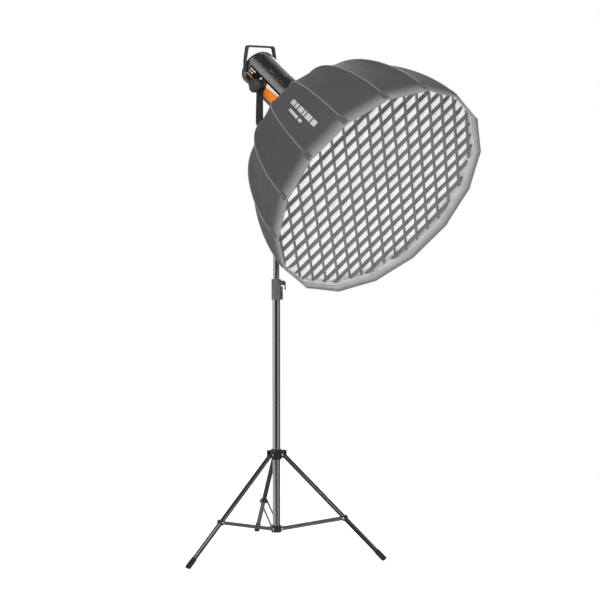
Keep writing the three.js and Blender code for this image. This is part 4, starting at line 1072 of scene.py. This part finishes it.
def profile_rows():
    rows = [(NECK_R, NECK_L), (NECK_R, NECK_L + 4)]
    sweeps = 64
    rows += [rib_point(NECK_SWEEP + (pi / 2 - NECK_SWEEP) * k / sweeps) for k in range(sweeps)]
    for along in (672, 674.5, 679, 686, 694, 702, 710, 716, 720, 722):
        rows.append((RIB_END_R + (LIP_R - RIB_END_R) * (along - RIB_END_L) / (LIP_L - RIB_END_L), along))
    return rows


PANEL_STEPS = 14


def gore_area(rows):
    """The flat area of the sixteen gores, in square metres."""
    total = 0
    for (r0, l0), (r1, l1) in zip(rows, rows[1:]):
        total += hypot(r1 - r0, l1 - l0) * (r0 + r1) * sin(RIB_STEP / 2)
    return RIBS * total * MM * MM


def softbox_shell():
    rows = profile_rows()
    run, total = [0.0], 0.0
    for (r0, l0), (r1, l1) in zip(rows, rows[1:]):
        total += hypot(r1 - r0, l1 - l0)
        run.append(total)
    build = Build()
    for i in range(RIBS):
        points = [[cloth_point(i, k / PANEL_STEPS, r, l) for k in range(PANEL_STEPS + 1)] for r, l in rows]

        def place(j, k):
            width = 2 * rows[j][0] * sin(RIB_STEP / 2)
            return ((k / PANEL_STEPS - 0.5) * width * MM + i * 0.2, run[j] * MM)

        build.grid(points, cloth=place)
    shell = softbox_piece(
        build, "softbox_shell_cloth", ["cloth", "lining"], replaces=["softbox_shell"], sharp=14
    )
    thickened(shell, 1.4, inner_look=1)
    width = RIBS * 2 * LIP_R * sin(RIB_STEP / 2) * MM
    return shell, (width, total * MM), gore_area(rows)


shell, shell_flat, shell_area = softbox_shell()


def swept(build, path, radius, closed=False):
    """A round cord along (point in metres, up) pairs."""
    sides = 10
    rings = []
    count = len(path)
    for n, (point, up) in enumerate(path):
        before = path[(n - 1) % count][0] if closed or n else point
        after = path[(n + 1) % count][0] if closed or n < count - 1 else point
        tangent = (after - before).normalized()
        side = tangent.cross(up).normalized()
        high = side.cross(tangent)
        ring = []
        for k in range(sides):
            a = TAU * k / sides
            ring.append(point + side * radius * MM * cos(a) + high * radius * MM * sin(a))
        rings.append(ring)
    spacing = (path[1][0] - path[0][0]).length
    girth = TAU * radius * MM / sides

    def place(j, k):
        return (k * girth, j * spacing)

    if closed:
        build.grid([*rings, rings[0]], wrap=True, cloth=place)
    else:
        build.tube(rings, cloth=place)


def rib_path(i, start, end, steps, lift):
    a = rib_angle(i)
    path = []
    for k in range(steps + 1):
        sweep = start + (end - start) * k / steps
        r, along = rib_point(sweep)
        nr, nl = rib_normal(along)
        up = Vector((cos(a) * nr, sin(a) * nr, nl))
        path.append((Vector((cos(a) * r, sin(a) * r, along)) * MM + up * lift * MM, up))
    return path


def piping():
    build = Build()
    for i in range(RIBS):
        swept(build, rib_path(i, NECK_SWEEP + 0.02, pi / 2 - 0.01, 60, 0.7), 2.1)
    return softbox_piece(build, "softbox_piping", "piping")


def polygon_path(radius, along, per_side, nub=0.0):
    """A closed path round the sixteen-sided softbox, with rounded corners."""
    path = []
    for i in range(RIBS):
        for k in range(per_side):
            v = k / per_side
            x, y = on_chord(i, v, radius)
            out = Vector((x, y, 0)).normalized()
            bulge = nub * exp(-((min(v, 1 - v) * per_side) ** 2) / 1.5)
            path.append(((Vector((x, y, along)) + out * bulge) * MM, out))
    return path


def lip_hem():
    """The bound front edge of the lip."""
    build = Build()
    swept(build, polygon_path(LIP_R - 0.7, LIP_L - 0.6, 14, 0.8), 1.5, closed=True)
    return softbox_piece(build, "lip_binding", "hem")


def neck_band():
    build = Build()
    swept(build, polygon_path(NECK_R - 0.5, NECK_L + 0.5, 8), 2.2, closed=True)
    swept(build, polygon_path(NECK_R - 0.2, NECK_L + 9, 8), 1.3, closed=True)
    return softbox_piece(build, "neck_binding", "piping")


POCKET_BACK, POCKET_FRONT, POCKET_HALF = 667.0, 712.0, 11.0


def pockets():
    """A raised cloth pocket over the end of each rib."""
    build = Build()
    across_steps, along_steps = 12, 12
    for i in range(RIBS):
        rows = []
        for j in range(along_steps + 1):
            t = j / along_steps
            along = POCKET_BACK + (POCKET_FRONT - POCKET_BACK) * t
            r = RIB_END_R + max(0, (LIP_R - RIB_END_R) * (along - RIB_END_L) / (LIP_L - RIB_END_L))
            chord = 2 * r * sin(RIB_STEP / 2)
            row = []
            for k in range(across_steps + 1):
                s = (2 * k / across_steps - 1) * POCKET_HALF
                rim = min(1.0, (1 - abs(s) / POCKET_HALF) * 5, t * 9, (1 - t) * 7)
                crown = cos(s / POCKET_HALF * pi / 2) ** 0.7 if abs(s) < POCKET_HALF else 0
                lift = 0.5 + 1.0 * rim + 2.6 * crown * min(1.0, t * 4, (1 - t) * 4)
                panel, v = (i, s / chord) if s >= 0 else (i - 1, 1 + s / chord)
                row.append(cloth_point(panel, v, r, along, lift, creased=False))
            rows.append(row)

        def place(j, k):
            length = POCKET_FRONT - POCKET_BACK
            return (k * 2 * POCKET_HALF / across_steps * MM, j * length / along_steps * MM)

        build.grid(rows, cloth=place)
    return thickened(softbox_piece(build, "rib_pockets", "pocket", sharp=60), 0.9)


def rib_nubs():
    """The rounded tip of each pocket at the lip's corner."""
    build = Build()
    for i in range(RIBS):
        a = rib_angle(i)
        centre = Vector((cos(a) * (LIP_R - 1), sin(a) * (LIP_R - 1), LIP_L - 5))
        rings = 7
        rows = []
        for j in range(rings + 1):
            lat = pi * (j / rings - 0.5)
            row = []
            for k in range(16):
                turn = TAU * k / 16
                x, y = 3.6 * cos(lat) * cos(turn), 3.6 * cos(lat) * sin(turn)
                row.append((centre + Vector((x, y, 6.0 * sin(lat)))) * MM)
            rows.append(row)
        build.grid(rows, wrap=True, cloth=lambda j, k: (k * 0.002, j * 0.002))
    return softbox_piece(build, "rib_tips", "hem")


PRINT_PANEL = 6
# Plain blocks printed on one panel: from and to across the panel as shares, from and to along it in degrees.
PRINT_BLOCKS = [
    (0.39, 0.52, 57, 61.5), (0.39, 0.52, 62.4, 65), (0.39, 0.52, 65.9, 70.4), (0.39, 0.52, 71.3, 73.3),
    (0.39, 0.52, 74.2, 79), (0.39, 0.52, 79.9, 83.5), (0.60, 0.67, 61, 71), (0.60, 0.67, 72.2, 75.4),
]


def printed_blocks():
    """A generic mark of plain white blocks."""
    build = Build()
    for left, right, start, end in PRINT_BLOCKS:
        rows = []
        for j in range(7):
            r, along = rib_point(radians(start + (end - start) * j / 6))
            shares = [left + (right - left) * k / 6 for k in range(7)]
            rows.append([cloth_point(PRINT_PANEL, share, r, along, 0.3) for share in shares])
        build.grid(rows, cloth=lambda j, k: (k * 0.003, j * 0.004))
    return thickened(softbox_piece(build, "shell_print", "print"), 0.2)


piping()
lip_hem()
neck_band()
pockets()
rib_nubs()
printed_blocks()


def round_cloth(name, node, radius, along, bulge):
    """A sixteen-sided diffuser stretched between the ribs, with small folds running in from its edge."""
    rings, columns = 36, RIBS * 12
    rows = []
    for j in range(rings + 1):
        share = j / rings
        row = []
        for k in range(columns):
            i, v = divmod(k, 12)
            v /= 12
            x, y = on_chord(i, v, radius)
            scallop = 1 - 0.012 * 4 * v * (1 - v) * share
            angle = atan2(y, x)
            folds = noise.noise(Vector((cos(angle) * 9, sin(angle) * 9, share * 2.2)))
            pleat = folds * 1.9 * share ** 2
            lift = bulge * (1 - share * share) + pleat * min(1.0, (1 - share) * 6 + 0.25)
            row.append(Vector((x * share * scallop, y * share * scallop, along + lift)) * MM)
        rows.append(row)
    build = Build()

    def place(j, k):
        a = TAU * k / columns
        return (radius * MM * j / rings * cos(a), radius * MM * j / rings * sin(a))

    build.grid(rows, wrap=True, cloth=place)
    cloth = build.piece(name, "diffuser", "softbox", "diffuser_fabric", HEAD, [node], sharp=60)
    thickened(cloth, 0.5)


round_cloth("front_diffuser_cloth", "front_diffuser", 442, 660, 3.5)
round_cloth("inner_diffuser_cloth", "inner_diffuser", 366, 429, 5)

GRID_BACK, GRID_FRONT, GRID_REACH = 672.0, 690.0, 441.0
# Two families of strips: direction in degrees, pitch in mm, count, look. The two looks are shaded and lit
# copies of one cloth, painted shade and painted light.
GRID_FAMILIES = [(-56.1, 52, 17, 0), (59.4, 54, 16, 1)]
STRIP_THICK = 2.0


def grid_reach(direction, offset):
    """How far a strip runs each way before it meets the sixteen-sided lip, in mm."""
    ahead = Vector((cos(direction), sin(direction)))
    aside = Vector((-ahead.y, ahead.x)) * offset
    ends = []
    for sign in (1, -1):
        low, high = 0.0, 2 * GRID_REACH
        for _ in range(24):
            mid = (low + high) / 2
            p = aside + ahead * sign * mid
            angle = (atan2(p.y, p.x) - RIB_PHASE) % RIB_STEP - RIB_STEP / 2
            edge = GRID_REACH * cos(RIB_STEP / 2) / cos(angle)
            low, high = (mid, high) if p.length < edge else (low, mid)
        ends.append(sign * low)
    return ends[1], ends[0]


def fabric_grid():
    build = Build()
    for direction, pitch, count, kind in GRID_FAMILIES:
        angle = radians(direction)
        ahead = Vector((cos(angle), sin(angle), 0))
        aside = Vector((-sin(angle), cos(angle), 0))
        for n in range(count):
            offset = (n - (count - 1) / 2) * pitch
            start, end = grid_reach(angle, offset)
            steps = max(6, int((end - start) / 18))
            rings = []
            for k in range(steps + 1):
                t = start + (end - start) * k / steps
                from_end = min(t - start, end - t)
                sway = 1.3 * noise.noise(Vector((t * 0.012, offset * 0.31, kind * 5.0)))
                droop = 1.2 * noise.noise(Vector((t * 0.008, offset * 0.17, 20 + kind * 5.0)))
                lean = 0.9 * noise.noise(Vector((t * 0.01, offset * 0.23, 40 + kind * 5.0)))
                taper = max(0.0, 1 - from_end / 26)
                spine = ahead * t + aside * (offset + sway * min(1, from_end / 30))
                back = GRID_BACK + droop * 0.5 + 0.5
                front = GRID_FRONT + droop * 0.5 - 9 * taper * taper
                half = aside * (STRIP_THICK / 2)
                tip = aside * lean
                rings.append([
                    (spine - half + Vector((0, 0, back))) * MM, (spine + half + Vector((0, 0, back))) * MM,
                    (spine + half + tip + Vector((0, 0, front))) * MM,
                    (spine - half + tip + Vector((0, 0, front))) * MM,
                ])
            spacing = (end - start) / steps * MM

            def place(j, c):
                return (j * spacing, c * 0.018)

            build.tube(rings, kind, cloth=place)
    strips = build.piece("grid_strips", ["strip_painted_dim", "strip_painted_lit"], "softbox", "grid_fabric", HEAD,
                         ["honeycomb_grid"], sharp=40)
    band = Build()
    rows = []
    section = [(GRID_BACK - 1, 443.5), (GRID_FRONT + 2, 444.2), (GRID_FRONT + 2.6, 443.4),
               (GRID_FRONT + 2, 442.6), (GRID_BACK - 1, 442)]
    for along, r in section:
        rows.append([p for p, _ in polygon_path(r, along, 12)])
    band.grid([*rows, rows[0]], wrap=True, cloth=lambda j, k: (k * 0.0146, j * 0.008))
    border = band.piece("grid_border", "lining", "softbox", "grid_fabric", HEAD)


fabric_grid()
